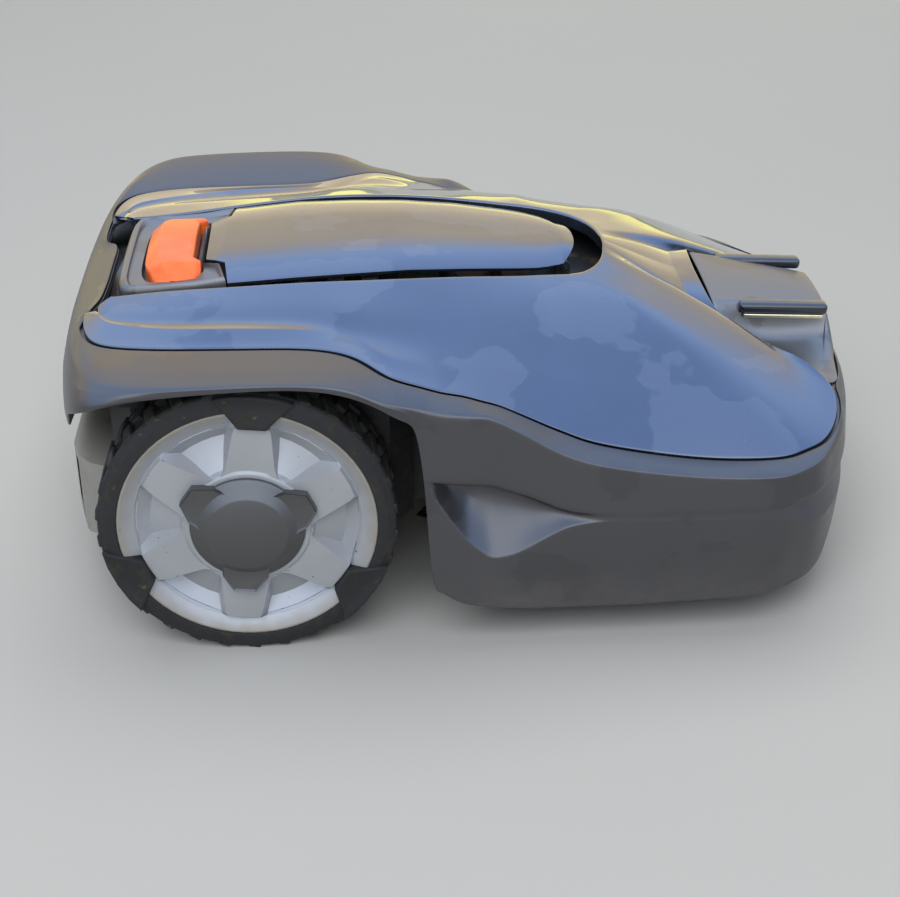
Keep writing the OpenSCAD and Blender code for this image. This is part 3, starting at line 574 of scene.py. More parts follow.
def face_up(mesh):
    """Turns an open sheet over where more of it faces down than up."""
    if sum(face.normal.z for face in mesh.faces) < 0:
        bmesh.ops.reverse_faces(mesh, faces=mesh.faces)


def mirrored(mesh):
    """Adds the right half to a left half whose seam lies on the middle plane."""
    for vert in mesh.verts:
        if abs(vert.co.y) < 1e-4:
            vert.co.y = 0
    everything = mesh.verts[:] + mesh.edges[:] + mesh.faces[:]
    bmesh.ops.mirror(mesh, geom=everything, axis="Y", merge_dist=1e-5)
    close_up(mesh)


def smooth(made, levels=0):
    """Shades a piece smooth, under a subdivision surface where levels are given."""
    made.data.polygons.foreach_set("use_smooth", [True] * len(made.data.polygons))
    if levels:
        fair = made.modifiers.new("fair", "SUBSURF")
        fair.levels = levels
        fair.render_levels = levels
    return made


def dress(made, body, slot, *replaced):
    """Gives a piece its finish and its body, and hides the frame's nodes that it stands for."""
    made.data.materials.clear()
    made.data.materials.append(finishes[slot])
    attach(made, body)
    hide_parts(*replaced)
    print(made.name, "has", len(made.data.vertices), "vertices")
    return made


# %% Guide curves of the cover, in millimetres, from its rear corner to the middle of the nose
wall = 3 * MM
cover_edge = [
    (-263, 90, 205), (-261, 112, 204.8), (-249, 136, 204.5), (-214, 146, 205), (-160, 149, 205),
    (-110, 152, 205), (-80, 166, 205), (-58, 186, 200), (-36, 190, 194), (-24, 190, 190),
    (-10, 190, 187), (2, 190, 183), (14, 190, 179), (32, 190, 170), (54, 190, 159),
    (84, 190, 147), (148, 190, 135), (200, 190, 133), (222, 182, 134), (240, 167, 134),
    (254, 140, 137.5), (257, 112, 144.5), (240, 92, 155.5), (212, 77, 164), (194, 66, 171),
    (182, 54, 181), (178, 26, 186), (177, 0, 187)]
opening_edge = [
    (-246, 72, 210), (-243, 72, 210), (-230, 71, 211), (-200, 72, 213.6), (-160, 76, 217),
    (-120, 79, 220), (-95, 80, 221), (-70, 80, 221.3), (-48, 79, 221.2), (-30, 77.5, 220.7),
    (-12, 75.5, 220), (4, 73, 219), (20, 71, 217.8), (36, 68.5, 216.5), (50, 66, 215.5),
    (64, 63, 214.3), (75, 59.5, 213), (83, 55, 212.2), (89, 49.5, 212), (94, 43, 212),
    (98, 36, 212.2), (101, 28, 212.5), (102.5, 22, 212.8), (103.5, 16, 213), (104.3, 11, 213.2),
    (104.8, 7, 213.3), (105, 3.5, 213.4), (105, 0, 213.4)]
# The crest over the wheel, as far as it stands clear of the edge
crest = [
    (-252, 98, 207.6), (-248, 106, 207.6), (-238, 113.5, 207.8), (-206, 123.5, 208.2),
    (-160, 129, 209.6), (-114, 131.5, 208.8), (-86, 136, 207.2), (-61, 152, 204.4)]
# How far the cover has dropped at each share of the way out, by the number of the guide point
drops = {
    0.2: [(0, 0.21), (6, 0.21), (9, 0.18), (14, 0.05), (17, 0.08), (20, 0.13), (24, 0.2), (27, 0.25)],
    0.4: [(0, 0.42), (6, 0.42), (9, 0.40), (14, 0.17), (17, 0.22), (20, 0.30), (24, 0.40), (27, 0.50)],
    0.55: [(0, 0.78), (6, 0.77), (9, 0.62), (14, 0.30), (17, 0.37), (20, 0.46), (24, 0.56), (27, 0.68)],
    0.78: [(0, 0.78), (6, 0.80), (9, 0.83), (14, 0.57), (17, 0.66), (20, 0.74), (24, 0.86), (27, 0.92)],
    0.9: [(0, 0.93), (6, 0.94), (9, 0.93), (14, 0.78), (17, 0.84), (20, 0.89), (24, 0.95), (27, 0.97)],
}
STEPS = 3


# %% The cover's cage
def cover_row(share):
    """A half row of the cover between its opening and its outer edge."""
    inner, outer = curve(opening_edge), curve(cover_edge)
    made = []
    for i, (a, b) in enumerate(zip(inner, outer)):
        drop = lookup(drops[share], i / STEPS)
        made.append(Vector((*a.lerp(b, share).xy, a.z + (b.z - a.z) * drop)))
    return made


crest_row = cover_row(0.78)
crest_line = curve(crest)
for i, place in enumerate(crest_line):
    blend_in = lookup([(0, 0), (6, 0), (7, 1)], i / STEPS)
    crest_row[i] = place.lerp(crest_row[i], blend_in)
inner_edge, outer_edge = curve(opening_edge), curve(cover_edge)
upper_row, lower_row = cover_row(0.55), cover_row(0.9)
lip = 1.1 * MM
crest_width = [lookup([(0, 0.8), (6, 1.0), (8, 6), (20, 6), (24, 1.6), (27, 1.6)], i / STEPS) * MM
               for i in range(len(crest_row))]
outside = [
    inner_edge, beside(inner_edge, cover_row(0.2), lip), cover_row(0.2), cover_row(0.4), upper_row,
    beside(crest_row, upper_row, crest_width), crest_row, beside(crest_row, lower_row, crest_width),
    lower_row, beside(outer_edge, lower_row, lip), outer_edge]
flange = 11 * MM
inside = [moved_out(inner_edge, 0.0, flange), moved_out(inner_edge, 2 * MM, flange),
          moved_out(inner_edge, 2 * MM, wall)]
inside += [between(row, row, 0, -wall) for row in (cover_row(0.4), cover_row(0.78), outer_edge)]
cover_mesh = lay(outside + inside[::-1] + [inner_edge])


# %% Close the cover's two rear ends and mirror it
def creased(mesh, edges, amount):
    """Holds edges sharp, in part or in full, against the subdivision surface."""
    layer = mesh.edges.layers.float["crease_edge"]
    for edge in edges:
        edge[layer] = amount


def capped(mesh, amount=0.7):
    """Fills the open section at the rear end of a half sheet and holds its border."""
    close_up(mesh)
    border = [edge for edge in mesh.edges if edge.is_boundary and max(v.co.y for v in edge.verts) > 1e-4]
    bmesh.ops.holes_fill(mesh, edges=border, sides=0)
    creased(mesh, border, amount)


capped(cover_mesh)
mirrored(cover_mesh)
cover = smooth(new_object("gloss_cover", cover_mesh), 2)
dress(cover, "shell", "cover_gloss", "top_cover")

# %% Dark curtain under the edge of the opening, so that no daylight shows past the console: its dark colour is painted shade
curtain_line = [(-262, 60, 195)] + [(x, y, z - 3) for x, y, z in opening_edge[1:14]]
curtain_top = moved_out(curve(curtain_line), 9 * MM)
curtain_foot = [Vector((p.x, p.y, 0.187)) for p in curtain_top]
curtain_mesh = lay([curtain_top, moved_out(curtain_top, 1.5 * MM), moved_out(curtain_foot, 1.5 * MM),
                    curtain_foot, curtain_top])
capped(curtain_mesh)
mirrored(curtain_mesh)
curtain = smooth(new_object("painted_shade_curtain", curtain_mesh))
# The dark seal rubber finish here is painted shade: the sheet stands for the shade under the opening
dress(curtain, "shell", "seal_rubber", "top_cover")

# %% [markdown]
# ### The matte shell
# Its inner edge runs one seam outside the cover. From there a shoulder leads to the rim, where
# the side turns down to the skirt, or to the arch over the wheel. The scoop behind the front
# corner and the step in the bumper are one pair of rows that part where the wall is stepped in.

# %% Guide curves of the shell
rear_edges = {
    "left": [(-253.2, 0, 206), (-253.8, 29, 206), (-264, 44, 203), (-265, 74, 203), (-264, 82, 204.5)],
    "right": [(-253.2, 0, 206), (-253.2, 32, 206), (-253.8, 50, 206), (-255, 66, 206), (-259, 80, 205.5)]}
nose_edge = [(272, 75, 138), (277, 35, 139), (278, 0, 139)]
rim_line = [
    (-279, 0, 190), (-279, 36, 190), (-277, 72, 192), (-274, 104, 195), (-269, 132, 199),
    (-261, 160, 203), (-250, 186, 206), (-236, 202, 208), (-214, 211, 209.5), (-160, 214, 210.5),
    (-112, 214, 210), (-84, 214, 206), (-62, 214, 196), (-44, 214, 191.5), (-33, 214, 188),
    (-22, 214, 185.5), (-6, 214, 184), (8, 214, 182), (32, 214, 168), (54, 214, 154),
    (86, 214, 143), (148, 213, 133), (196, 212, 130.5), (217, 204, 131), (234, 189, 131),
    (254, 155, 130), (268, 115, 130), (278, 70, 130), (282, 35, 130), (283, 0, 130)]
skirt_line = [
    (-283, 0, 118), (-283, 36, 118), (-282, 72, 121), (-280, 104, 129), (-275, 134, 143),
    (-269, 163, 167), (-260, 192, 182), (-245, 209, 193), (-218, 214, 201), (-160, 215, 206),
    (-112, 215, 206), (-80, 215, 199), (-54, 215, 184), (-39, 215, 166), (-32, 215, 63),
    (-24, 214, 48), (-10, 213, 38.5), (8, 212, 34), (32, 211, 31.5), (60, 209, 30),
    (95, 209, 30), (150, 208, 31), (192, 206, 32), (216, 196, 33), (236, 182, 35),
    (252, 155, 37), (265, 115, 39), (273, 72, 40), (277, 35, 40), (278, 0, 40)]
# By the number of the guide point: the height of the step's foot, its top, and how deep it is
step_top = [(14, 134), (15, 131), (16, 129), (17, 128), (18, 119), (19, 108), (19.5, 106),
            (20, 105), (22, 105), (29, 104)]
step_mid = [(14, 132), (15, 122), (16, 108), (17, 100), (18, 99), (19, 103), (19.5, 103.5),
            (20, 103.5), (22, 102), (24, 98), (29, 95)]
step_foot = [(14, 131), (15, 114), (16, 91), (17, 76), (17.6, 78), (18, 84), (19, 99),
             (19.5, 102), (20, 102), (22, 98), (24, 84), (29, 80)]
step_depth = [(14, 0.5), (15, 19), (16, 26), (17, 27), (18, 21), (19, 10), (19.5, 2), (20, 0.5),
              (22, 0.5), (23, 6), (24, 9), (27, 9), (29, 8)]
tuck_height = 55
MID_SHARE = 0.68


# %% The shell's cage
side_edge = moved_out(curve(cover_edge), 2.5 * MM, 0.3 * MM)[:STEPS * 21 + 1]
to_mm = 1 / MM
nose_end = curve([tuple(side_edge[-1] * to_mm)] + nose_edge)
rim, skirt = curve(rim_line), curve(skirt_line)
print("points along the shell's rim and skirt:", len(rim), len(skirt))


def side_row(level, depth=0.0, inset=0.0):
    """A half row down the shell's side. level is a height in millimetres by guide point."""
    made = []
    for i, (top, foot) in enumerate(zip(rim, skirt)):
        at = i / STEPS
        fallback = {"brow": 0.27, "top": 0.3, "mid": 0.42, "foot": 0.55, "tuck": 0.8}[level]
        tables = {"brow": [(key, height + 3) for key, height in step_top], "top": step_top,
                  "mid": step_mid, "foot": step_foot, "tuck": [(0, tuck_height), (1, tuck_height)]}
        height = lookup(tables[level], at) * MM
        share = (top.z - height) / (top.z - foot.z)
        share = share * lookup([(13, 0), (14, 1)], at) + fallback * lookup([(13, 1), (14, 0)], at)
        share = min(max(share, 0.05), 0.93)
        place = top.lerp(foot, share)
        out = Vector((place.x, place.y, 0)).normalized()
        swell = (4 * share * (1 - share)) ** 0.5 * 3.5 * MM
        step_in = (lookup(step_depth, at) * MM if at >= 14 else 0) * depth
        place = place + out * (swell - step_in - inset)
        place.x = min(max(place.x, -0.285 + inset), 0.285 - inset)
        place.y = min(place.y, 0.215 - inset)
        made.append(place)
    return made


soft = [lookup([(0, 9), (13, 9), (17, 5), (20, 2.5), (29, 2.5)], i / STEPS) * MM
        for i in range(len(rim))]
brow_row, top_row, mid_row = side_row("brow"), side_row("top", 1), side_row("mid", MID_SHARE)
foot_row, tuck_row = side_row("foot"), side_row("tuck")
seat_width = [lookup([(4, 0.8), (5, 13), (24, 13), (25, 4)], i / STEPS) * MM for i in range(len(rim))]


def shell_rows(rear_edge):
    """The rows round the section of half the shell, from the seat under the cover and back."""
    rear_start = curve(rear_edge + [tuple(side_edge[0] * to_mm)])
    shell_edge = rear_start[:-1] + side_edge + nose_end[1:]
    seat = moved_out(shell_edge, [-width for width in seat_width], wall)
    under_edge = between(shell_edge, shell_edge, 0, -wall)
    shoulder = between(shell_edge, rim, 0.55, 1.2 * MM)
    outside = [
        seat, beside(under_edge, seat, lip), under_edge, shell_edge, beside(shell_edge, shoulder, lip),
        shoulder, beside(rim, shoulder, soft), rim, beside(rim, brow_row, soft),
        beside(brow_row, rim, 1.5 * MM), brow_row, top_row, mid_row, beside(foot_row, mid_row, 2 * MM),
        foot_row, beside(foot_row, tuck_row, 2 * MM), tuck_row, beside(skirt, tuck_row, lip), skirt]
    inner_rim = moved_out(rim, -wall, wall)
    step_row = moved_out(shell_edge, -wall, 2 * wall)
    inside = [
        between(seat, seat, 0, -wall), step_row, between(step_row, inner_rim, 0.55), inner_rim,
        side_row("brow", 0, wall), side_row("top", 1, wall), side_row("mid", MID_SHARE, wall),
        side_row("foot", 0, wall), side_row("tuck", 0, wall), moved_out(skirt, -wall)]
    return outside + inside[::-1] + [seat]


# Each row runs along the right half backwards and then along the left half
shell_mesh = lay([[Vector((p.x, -p.y, p.z)) for p in right[::-1]] + left[1:] for left, right
                  in zip(shell_rows(rear_edges["left"]), shell_rows(rear_edges["right"]))])
close_up(shell_mesh)
shell = smooth(new_object("matte_shell", shell_mesh), 2)
dress(shell, "shell", "shell_matte", "body_shell")

# %% [markdown]
# ## The drive wheels
# The wheel face is one dished moulding. Six raised spokes, broad at the hub, run out to a ring
# inside the tyre, and fan shaped pockets lie between them. A ring outline is spun to a disc whose
# columns then lean so that they follow the edges of the spokes, and sink into the pockets. Each
# wheel piece is made with its axle along Z and its outer face at 0, and is then stood up.

# %% Wheel helpers
tyre_low, tyre_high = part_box("tyre_right")
wheel_centre = (tyre_low + tyre_high) / 2
wheel_radius = tyre_high.z / 2
wheel_face = -tyre_low.y
rolled = radians(-5.5)
sides = {"left": 1, "right": -1}


def stand(mesh, side):
    """Stands a wheel piece in place, its Z pointing outwards and its Y up."""
    turn = Matrix.Rotation(pi / 2, 4, "X") @ Matrix.Rotation(rolled, 4, "Z")
    flip = Matrix.Scale(-side, 4, (0, 1, 0))
    place = Matrix.Translation((wheel_centre.x, side * wheel_face, wheel_radius))
    mesh.transform(place @ flip @ turn)
    close_up(mesh)


def spun(profile, steps=72):
    """A ring, from an outline of (radius, height) in millimetres turned round the axle."""
    mesh = bmesh.new()
    verts = [mesh.verts.new((radius * MM, 0, height * MM)) for radius, height in profile]
    edges = [mesh.edges.new(pair) for pair in zip(verts, verts[1:] + verts[:1])]
    bmesh.ops.spin(mesh, geom=verts + edges, cent=(0, 0, 0), axis=(0, 0, 1), angle=2 * pi,
                   steps=steps, use_merge=True)
    close_up(mesh)
    return mesh


def raised(mesh, outline, bearing, foot, height):
    """Stands a block on an outline, turned round the axle, and returns its corners and its top."""
    turn = Matrix.Rotation(radians(bearing), 4, "Z")
    verts = [mesh.verts.new(turn @ Vector((x, y, foot)) * MM) for x, y in outline]
    made = bmesh.ops.extrude_face_region(mesh, geom=[mesh.faces.new(verts)])["geom"]
    top = [part for part in made if isinstance(part, bmesh.types.BMFace)]
    bmesh.ops.translate(mesh, verts=top[0].verts[:], vec=(0, 0, height * MM))
    return verts, top


def softened(mesh, width, sharper_than, segments=2, verts=None):
    """Rounds the edges whose faces meet at more than so many degrees, or just those given."""
    sharp = [edge for edge in mesh.edges
             if len(edge.link_faces) == 2 and edge.calc_face_angle(0) > radians(sharper_than)
             and (verts is None or (edge.verts[0] in verts and edge.verts[1] in verts))]
    bmesh.ops.bevel(mesh, geom=sharp, offset=width, segments=segments, profile=0.5,
                    affect="EDGES", material=-1, clamp_overlap=True)
    for edge in mesh.edges:
        edge.smooth = edge.calc_face_angle(0) < radians(14)


# %% Wheel face
face_rings = [(86, -1.6), (84.5, -1.5), (80, -4.4), (75.5, -7.3), (74, -2.4), (70, -2.4), (65, -2.2),
              (57, -2.0), (48, -2.0), (44.5, -2.2), (42.5, -2.4), (41, -1.0), (38.5, -1.0), (30, -4)]
barrel = [(8.05, -4), (8.05, -38), (22, -38), (24, -16), (77, -16), (79, -44), (86, -44)]
# By radius: how far the edge of a spoke and the foot of a pocket stand from the pocket's middle,
# in degrees, and how deep the pocket lies, in millimetres
spoke_edge = [(42.5, 5), (44.5, 8), (48, 11), (57, 15.5), (65, 18.3), (74, 21), (80, 21.5), (84.5, 21.5)]
pocket_foot = [(42.5, 4), (44.5, 6.5), (48, 8.5), (57, 11.5), (65, 14), (74, 18), (80, 20), (84.5, 20)]
pocket_depth = [(42.5, -2.6), (44.5, -4.6), (48, -6.6), (57, -11), (65, -14), (70, -10.8), (74, -8.25),
                (75.5, -7.3), (80, -4.4)]


def wheel_disc(name, side):
    """The rim: its face of spokes and pockets, and the barrel behind it."""
    mesh = spun(face_rings + barrel)
    for vert in mesh.verts:
        radius = hypot(vert.co.x, vert.co.y) / MM
        bearing = atan2(vert.co.y, vert.co.x) * 180 / pi
        if vert.co.z < -12 * MM or radius < 42 or radius > 84:
            continue
        middle = 60 * round(bearing / 60)
        away = abs(bearing - middle)
        lean = [(0, 0), (10, lookup(pocket_foot, radius)), (15, lookup(spoke_edge, radius)), (30, 30)]
        if away < 12 and radius < 79:
            vert.co.z = lookup(pocket_depth, radius) * MM
        turned = radians(middle + lookup(lean, away) * (1 if bearing > middle else -1))
        vert.co.x, vert.co.y = cos(turned) * radius * MM, sin(turned) * radius * MM
    softened(mesh, 1.0 * MM, 17)
    stand(mesh, side)
    return smooth(new_object("wheel_rim_" + name, mesh))


# %% Tyre
LUGS = 30
carcass = [(86, -47.5), (93, -48), (98.6, -44), (98.6, -41), (96.3, -40), (96.3, -9), (98.8, -7.5),
           (98.8, -5), (97.6, -3.4), (97, -3.2), (93, -1.2), (91, -0.9), (88, -0.5), (86.4, -0.6),
           (86, -1.8)]
tab_outline = [(-26, 94.5), (-18.5, 86), (-9, 74.5), (9, 74.5), (18.5, 86), (26, 94.5), (14, 97.2),
               (0, 98), (-14, 97.2)]


def tyre_tread(name, side):
    """The tyre: its carcass, two staggered rows of lugs and three tabs over the rim."""
    mesh = spun(carcass)
    softened(mesh, 0.4 * MM, 25)
    size = Matrix.Diagonal((4.8 * MM, 8.6 * MM, 23 * MM, 1))
    for row, middle in enumerate((-15, -34)):
        for count in range(LUGS):
            turn = Matrix.Rotation(2 * pi * (count + row / 2) / LUGS, 4, "Z")
            place = Matrix.Translation((97.4 * MM, 0, middle * MM))
            slant = Matrix.Rotation((0.22, -0.22)[row], 4, "X")
            made = bmesh.ops.create_cube(mesh, size=1, matrix=turn @ place @ slant @ size)
            softened(mesh, 0.9 * MM, 30, 1, set(made["verts"]))
    for bearing in (0, 120, 240):
        _, top = raised(mesh, tab_outline, bearing, -7, 7.7)
        bmesh.ops.inset_region(mesh, faces=top, thickness=1.4 * MM, depth=0.35 * MM)
        bmesh.ops.inset_region(mesh, faces=top, thickness=1.0 * MM, depth=-0.5 * MM)
    stand(mesh, side)
    return smooth(new_object("tyre_tread_" + name, mesh))


# %% Hub cap
cap_outline = [(0.01, 7.8), (26, 7.9), (27.4, 7.2), (34, 1.8), (37.2, 1.0), (38, 0.2), (38, -4), (0.01, -4)]
# A lobe's corners from the middle of the wheel: how far out and how wide, at its foot and its top
lobe_outline = [(26, 16), (36, 15), (47.5, 7.2), (47.5, -7.2), (36, -15), (26, -16)]


def hub_cover(name, side):
    """The cap over the wheel bolt: a coned disc with three lobes, its middle left bare."""
    mesh = spun(cap_outline)
    softened(mesh, 0.5 * MM, 20)
    for bearing in (30, 150, 270):
        verts, top = raised(mesh, lobe_outline, bearing, -4, 8)
        bmesh.ops.inset_region(mesh, faces=top, thickness=1.3 * MM, depth=1.0 * MM)
        softened(mesh, 0.4 * MM, 25, 2, set(verts) | set(top[0].verts))
    stand(mesh, side)
    return smooth(new_object("hub_cover_" + name, mesh))


# %% Both wheels
for name, side in sides.items():
    dress(wheel_disc(name, side), "wheel_" + name, "rim_silver", "rim_" + name)
    dress(tyre_tread(name, side), "wheel_" + name, "tyre_black", "tyre_" + name)
    dress(hub_cover(name, side), "wheel_" + name, "cap_dark", "hub_cap_" + name)

# %% [markdown]
# ## The hatch
# A crowned lid over the keypad. Its rear end is a tongue with stepped corners, and its sides draw
# in to a rounded front. A grid is mapped onto that outline, gets a wall and has its rim rounded.

# %% Hatch
hatch_width = [(-183, 70), (-160, 70.5), (-120, 72), (-80, 70.3), (-40, 67), (0, 63), (40, 56.3),
               (52, 53.3), (62, 48.5), (69, 42.5), (73, 38), (84, 38)]
hatch_height = [(-183, 215.5), (-160, 217), (-120, 220.3), (-80, 221.5), (-40, 221.8),
                (0, 219.8), (40, 216.1), (70, 212.7), (84, 211)]
hatch_rear = [(0, -183), (0.48, -183), (0.62, -169), (1, -166)]
hatch_crown = 5.8
HATCH_STEPS = 48
half_columns = [0.06, 0.14, 0.25, 0.36, 0.44, 0.48, 0.55, 0.62, 0.70, 0.80, 0.90, 0.96, 1]
columns = [-share for share in half_columns[::-1]] + [0] + half_columns


def walled(made, thickness):
    """Gives a sheet a wall below it."""
    added = made.modifiers.new("wall", "SOLIDIFY")
    added.thickness = thickness
    added.offset = -1
    return made


def rim_rounded(made, round_off, angle=40):
    """Rounds the edges of a piece that are sharper than the angle."""
    rounded = made.modifiers.new("rounded", "BEVEL")
    rounded.width = round_off
    rounded.segments = 3
    rounded.limit_method = "ANGLE"
    rounded.angle_limit = radians(angle)
    return made


def hatch_row(share):
    """A row of the hatch from its rear to its front, at a share of its half width."""
    rear, front = lookup(hatch_rear, abs(share)), 84 - 11 * abs(share) ** 2.2
    row = []
    for step in range(HATCH_STEPS + 1):
        x = rear + (front - rear) * (1 - cos(pi * step / HATCH_STEPS)) / 2
        tip = 1.6 * max(0, 1 - (x + 183) / 10) + 1.2 * max(0, 1 - (front - x) / 9)
        height = lookup(hatch_height, x) + hatch_crown * (1 - abs(share) ** 3.2) - tip
        row.append(Vector((x, lookup(hatch_width, x) * share, height)) * MM)
    return row


hatch_mesh = lay([hatch_row(share) for share in columns])
close_up(hatch_mesh)
face_up(hatch_mesh)
hatch = rim_rounded(walled(smooth(new_object("hatch_lid", hatch_mesh)), 2.6 * MM), 1.0 * MM)
dress(hatch, "hatch", "cover_gloss", "hatch")

# %% [markdown]
# ## The nose
# The nose between the prongs of the cover slopes down to the contact rails and then drops to the
# bumper. Half of it is laid from its ridge to the foot beside the prong, and mirrored.

# %% Nose
nose_lines = [
    [(181.5, 0, 183.4), (206, 0, 180.8), (236, 0, 177), (264, 0, 172.8), (271, 0, 169), (275, 0, 156),
     (279, 0, 140)],
    [(181.5, 24, 183), (206, 22, 180.2), (236, 18, 176.4), (264, 14, 172.4), (271, 14, 169),
     (275, 15, 156), (279, 15, 140)],
    [(181.5, 45, 182.2), (206, 40.5, 179.2), (236, 33.5, 175.2), (264, 26, 171.6), (270.5, 26, 168),
     (275, 27, 156), (278.5, 28, 140)],
    [(182.5, 47.5, 179.5), (207, 43, 174.5), (237, 39, 170.5), (266, 34.5, 168), (270.5, 35, 165),
     (274, 38, 154), (277, 42, 140)],
    [(183.5, 50, 175.5), (208, 44.5, 167), (238, 40.5, 163), (267, 37, 161.5), (270, 38.5, 159),
     (273, 43, 150), (275.5, 50, 140)],
    [(185.5, 53, 171.5), (211, 47, 151), (240, 43.5, 145), (265, 41.5, 143.2), (268, 46, 142.4),
     (270, 54, 141.4), (272, 62, 139.6)],
    [(187.5, 55.5, 169.5), (214, 65, 152), (242, 76, 144), (256, 89, 141), (260, 91, 141),
     (264, 91.5, 140.6), (268, 90, 139.6)],
    [(189.5, 58, 169.5), (216, 75, 158), (243, 88.5, 151.5), (254, 103, 144.5), (258, 102.5, 142.5),
     (262, 100, 140.8), (266, 96, 139.6)]]
nose_rows = [curve(line) for line in nose_lines]
top_edge = nose_rows[2]
nose_rows = (nose_rows[:2] + [beside(top_edge, nose_rows[1], 1.2 * MM), top_edge,
             beside(top_edge, nose_rows[3], 1.2 * MM)] + nose_rows[3:])
nose_mesh = lay(nose_rows)
close_up(nose_mesh)
mirrored(nose_mesh)
face_up(nose_mesh)
nose = smooth(walled(new_object("nose_cover", nose_mesh), 2.5 * MM), 2)
dress(nose, "shell", "nose_grey", "nose_block")


# %% Contact rails and strips
def rounded_box(name, place, size, radius, tilt=0.0, segments=4):
    """A box with rounded edges, tilted about the Y axis."""
    mesh = bmesh.new()
    turn = Matrix.Translation(Vector(place) * MM) @ Matrix.Rotation(radians(tilt), 4, "Y")
    bmesh.ops.create_cube(mesh, size=1, matrix=turn @ Matrix.Diagonal((*(Vector(size) * MM), 1)))
    bmesh.ops.bevel(mesh, geom=mesh.edges[:], offset=radius * MM, segments=segments, profile=0.5,
                    affect="EDGES", material=-1)
    close_up(mesh)
    for edge in mesh.edges:
        edge.smooth = edge.calc_face_angle(0) < radians(40)
    return smooth(new_object(name, mesh))


RAIL_TILT = 2.6
for name, side in sides.items():
    rail = rounded_box("rail_bar_" + name, (235, side * 42, 173.9), (66, 11.4, 8.6), 3.0, RAIL_TILT)
    dress(rail, "shell", "rail_black", "contact_rail_" + name)
    strip = rounded_box("strip_bar_" + name, (235, side * 46.2, 168.6), (59, 3.4, 3), 0.7, RAIL_TILT)
    dress(strip, "shell", "contact_brass", "contact_strip_" + name)

# %% [markdown]
# ## Console and stop button
# The console is laid as rings round the stop button's stem: up its side, over a rounded bead,
# across a shallow dish and down into the well. Its outline and the well's have their corners in
# pairs, so a ring between them is found by moving each corner towards its partner.

# %% Console
stem = Vector((-204.5, 0))
# How much higher the console stands at its two front corners, in millimetres
CORNER_LIFT = 5.2
console_side = [(-185.5, 0), (-185.5, 20), (-185.5, 33), (-171.5, 42), (-167.5, 66), (-190, 66),
                (-215, 66), (-234, 66), (-238.5, 64.6), (-241.4, 61), (-243.8, 52), (-244.8, 38),
                (-245.2, 20)]
console_well = [(-190, 0), (-190, 20), (-190, 33), (-184, 37.5), (-184, 46), (-190, 50.5), (-208, 51),
                (-222, 51), (-225, 49.5), (-227, 46), (-229.5, 38), (-230.5, 28), (-231, 14)]


def both_halves(half):
    """A whole outline from its half with y over 0, which starts on the middle line."""
    return [Vector(p) for p in half + [(x, -y) for x, y in half[::-1] if y]]


whole_side, whole_well = both_halves(console_side), both_halves(console_well)


def ring(inset, height, rear=1.0, start=whole_side):
    """A closed row set in from the console's side, by so many times more at the rear, or out."""
    lift = CORNER_LIFT if height > 208 else 0
    row = []
    for place, partner in zip(start, whole_well if start is whole_side else whole_side):
        way, share = partner - place, min(max((-235 - place.x) / 8, 0), 1)
        move = min(inset * (1 + (rear - 1) * share), 0.45 * way.length)
        spot = place + way.normalized() * move
        front = min(max((spot.x + 193) / 8, 0), 1) * min(max((abs(spot.y) - 30) / 4, 0), 1)
        row.append(Vector((*spot, height + lift * front)) * MM)
    return row + row[:1]


def circle(radius, height):
    """A round row with as many places as the console's outline."""
    count = len(whole_side)
    row = [Vector((stem.x + cos(2 * pi * i / count) * radius, sin(2 * pi * i / count) * radius, height))
           for i in range(count)]
    return [place * MM for place in row + row[:1]]


console_rings = [
    circle(6.4, 182.2), circle(6.4, 198.8), circle(8, 199.2), ring(0, 199.6, 1, whole_well),
    ring(0, 208.8, 1, whole_well), ring(-0.6, 209.8, 1, whole_well), ring(6.2, 210.2, 1.8),
    ring(4.6, 211.2, 2), ring(3.4, 213.2, 2.2), ring(2.2, 213.8, 2.4), ring(1.2, 213.2, 2.6),
    ring(0.4, 211.2, 3), ring(0, 208.6), ring(0, 184.6), ring(-12, 184.6), ring(-12, 182.2)]
console_mesh = lay(console_rings + console_rings[:1])
close_up(console_mesh)
for edge in console_mesh.edges:
    edge.smooth = edge.calc_face_angle(0) < radians(35)
console = smooth(new_object("console_frame", console_mesh))
dress(console, "chassis", "console_grey", "console_housing")

# %% Stop button
def button_row(along):
    """A section of the button at a distance from the middle line, rear foot to front foot."""
    share = abs(along) / 48.5
    rear = -227 + 10 * max(0, share - 0.55) ** 2 / 0.2
    front = lookup([(33, -191.5), (37.5, -186), (45, -186), (48.5, -189.5)], abs(along))
    crown = 225 - 6.0 * share ** 2
    top = crown if share < 0.84 else crown + (209 - crown) * (share - 0.84) / 0.16
    section = [(rear, 204.5), (rear, top - 7.5), (rear + 1.2, top - 6), (rear + 8.2, top - 0.6),
               (rear + 9.6, top), (front - 3.4, top), (front - 0.6, top - 1.6), (front, top - 3.4),
               (front, 204.5)]
    return [Vector((x, along, max(z, 204.5 + 0.2 * i * (8 - i)))) * MM for i, (x, z) in enumerate(section)]


stations = [0, 6, 12, 18, 24, 30, 33, 35.2, 37.5, 39.4, 40.8, 44, 46.8, 48.5]
button_rows = [button_row(y) for y in [-y for y in stations[:0:-1]] + stations]
button_mesh = lay(button_rows)
close_up(button_mesh)
bmesh.ops.holes_fill(button_mesh, edges=[e for e in button_mesh.edges if e.is_boundary], sides=0)
close_up(button_mesh)
softened(button_mesh, 0.9 * MM, 24)
stem_place = Matrix.Translation((stem.x * MM, 0, 196.2 * MM))
bmesh.ops.create_cone(button_mesh, cap_ends=True, segments=32, radius1=6 * MM, radius2=6 * MM,
                      depth=18 * MM, matrix=stem_place)
button = smooth(new_object("stop_cap", button_mesh))
dress(button, "stop_button", "stop_orange", "stop_button")

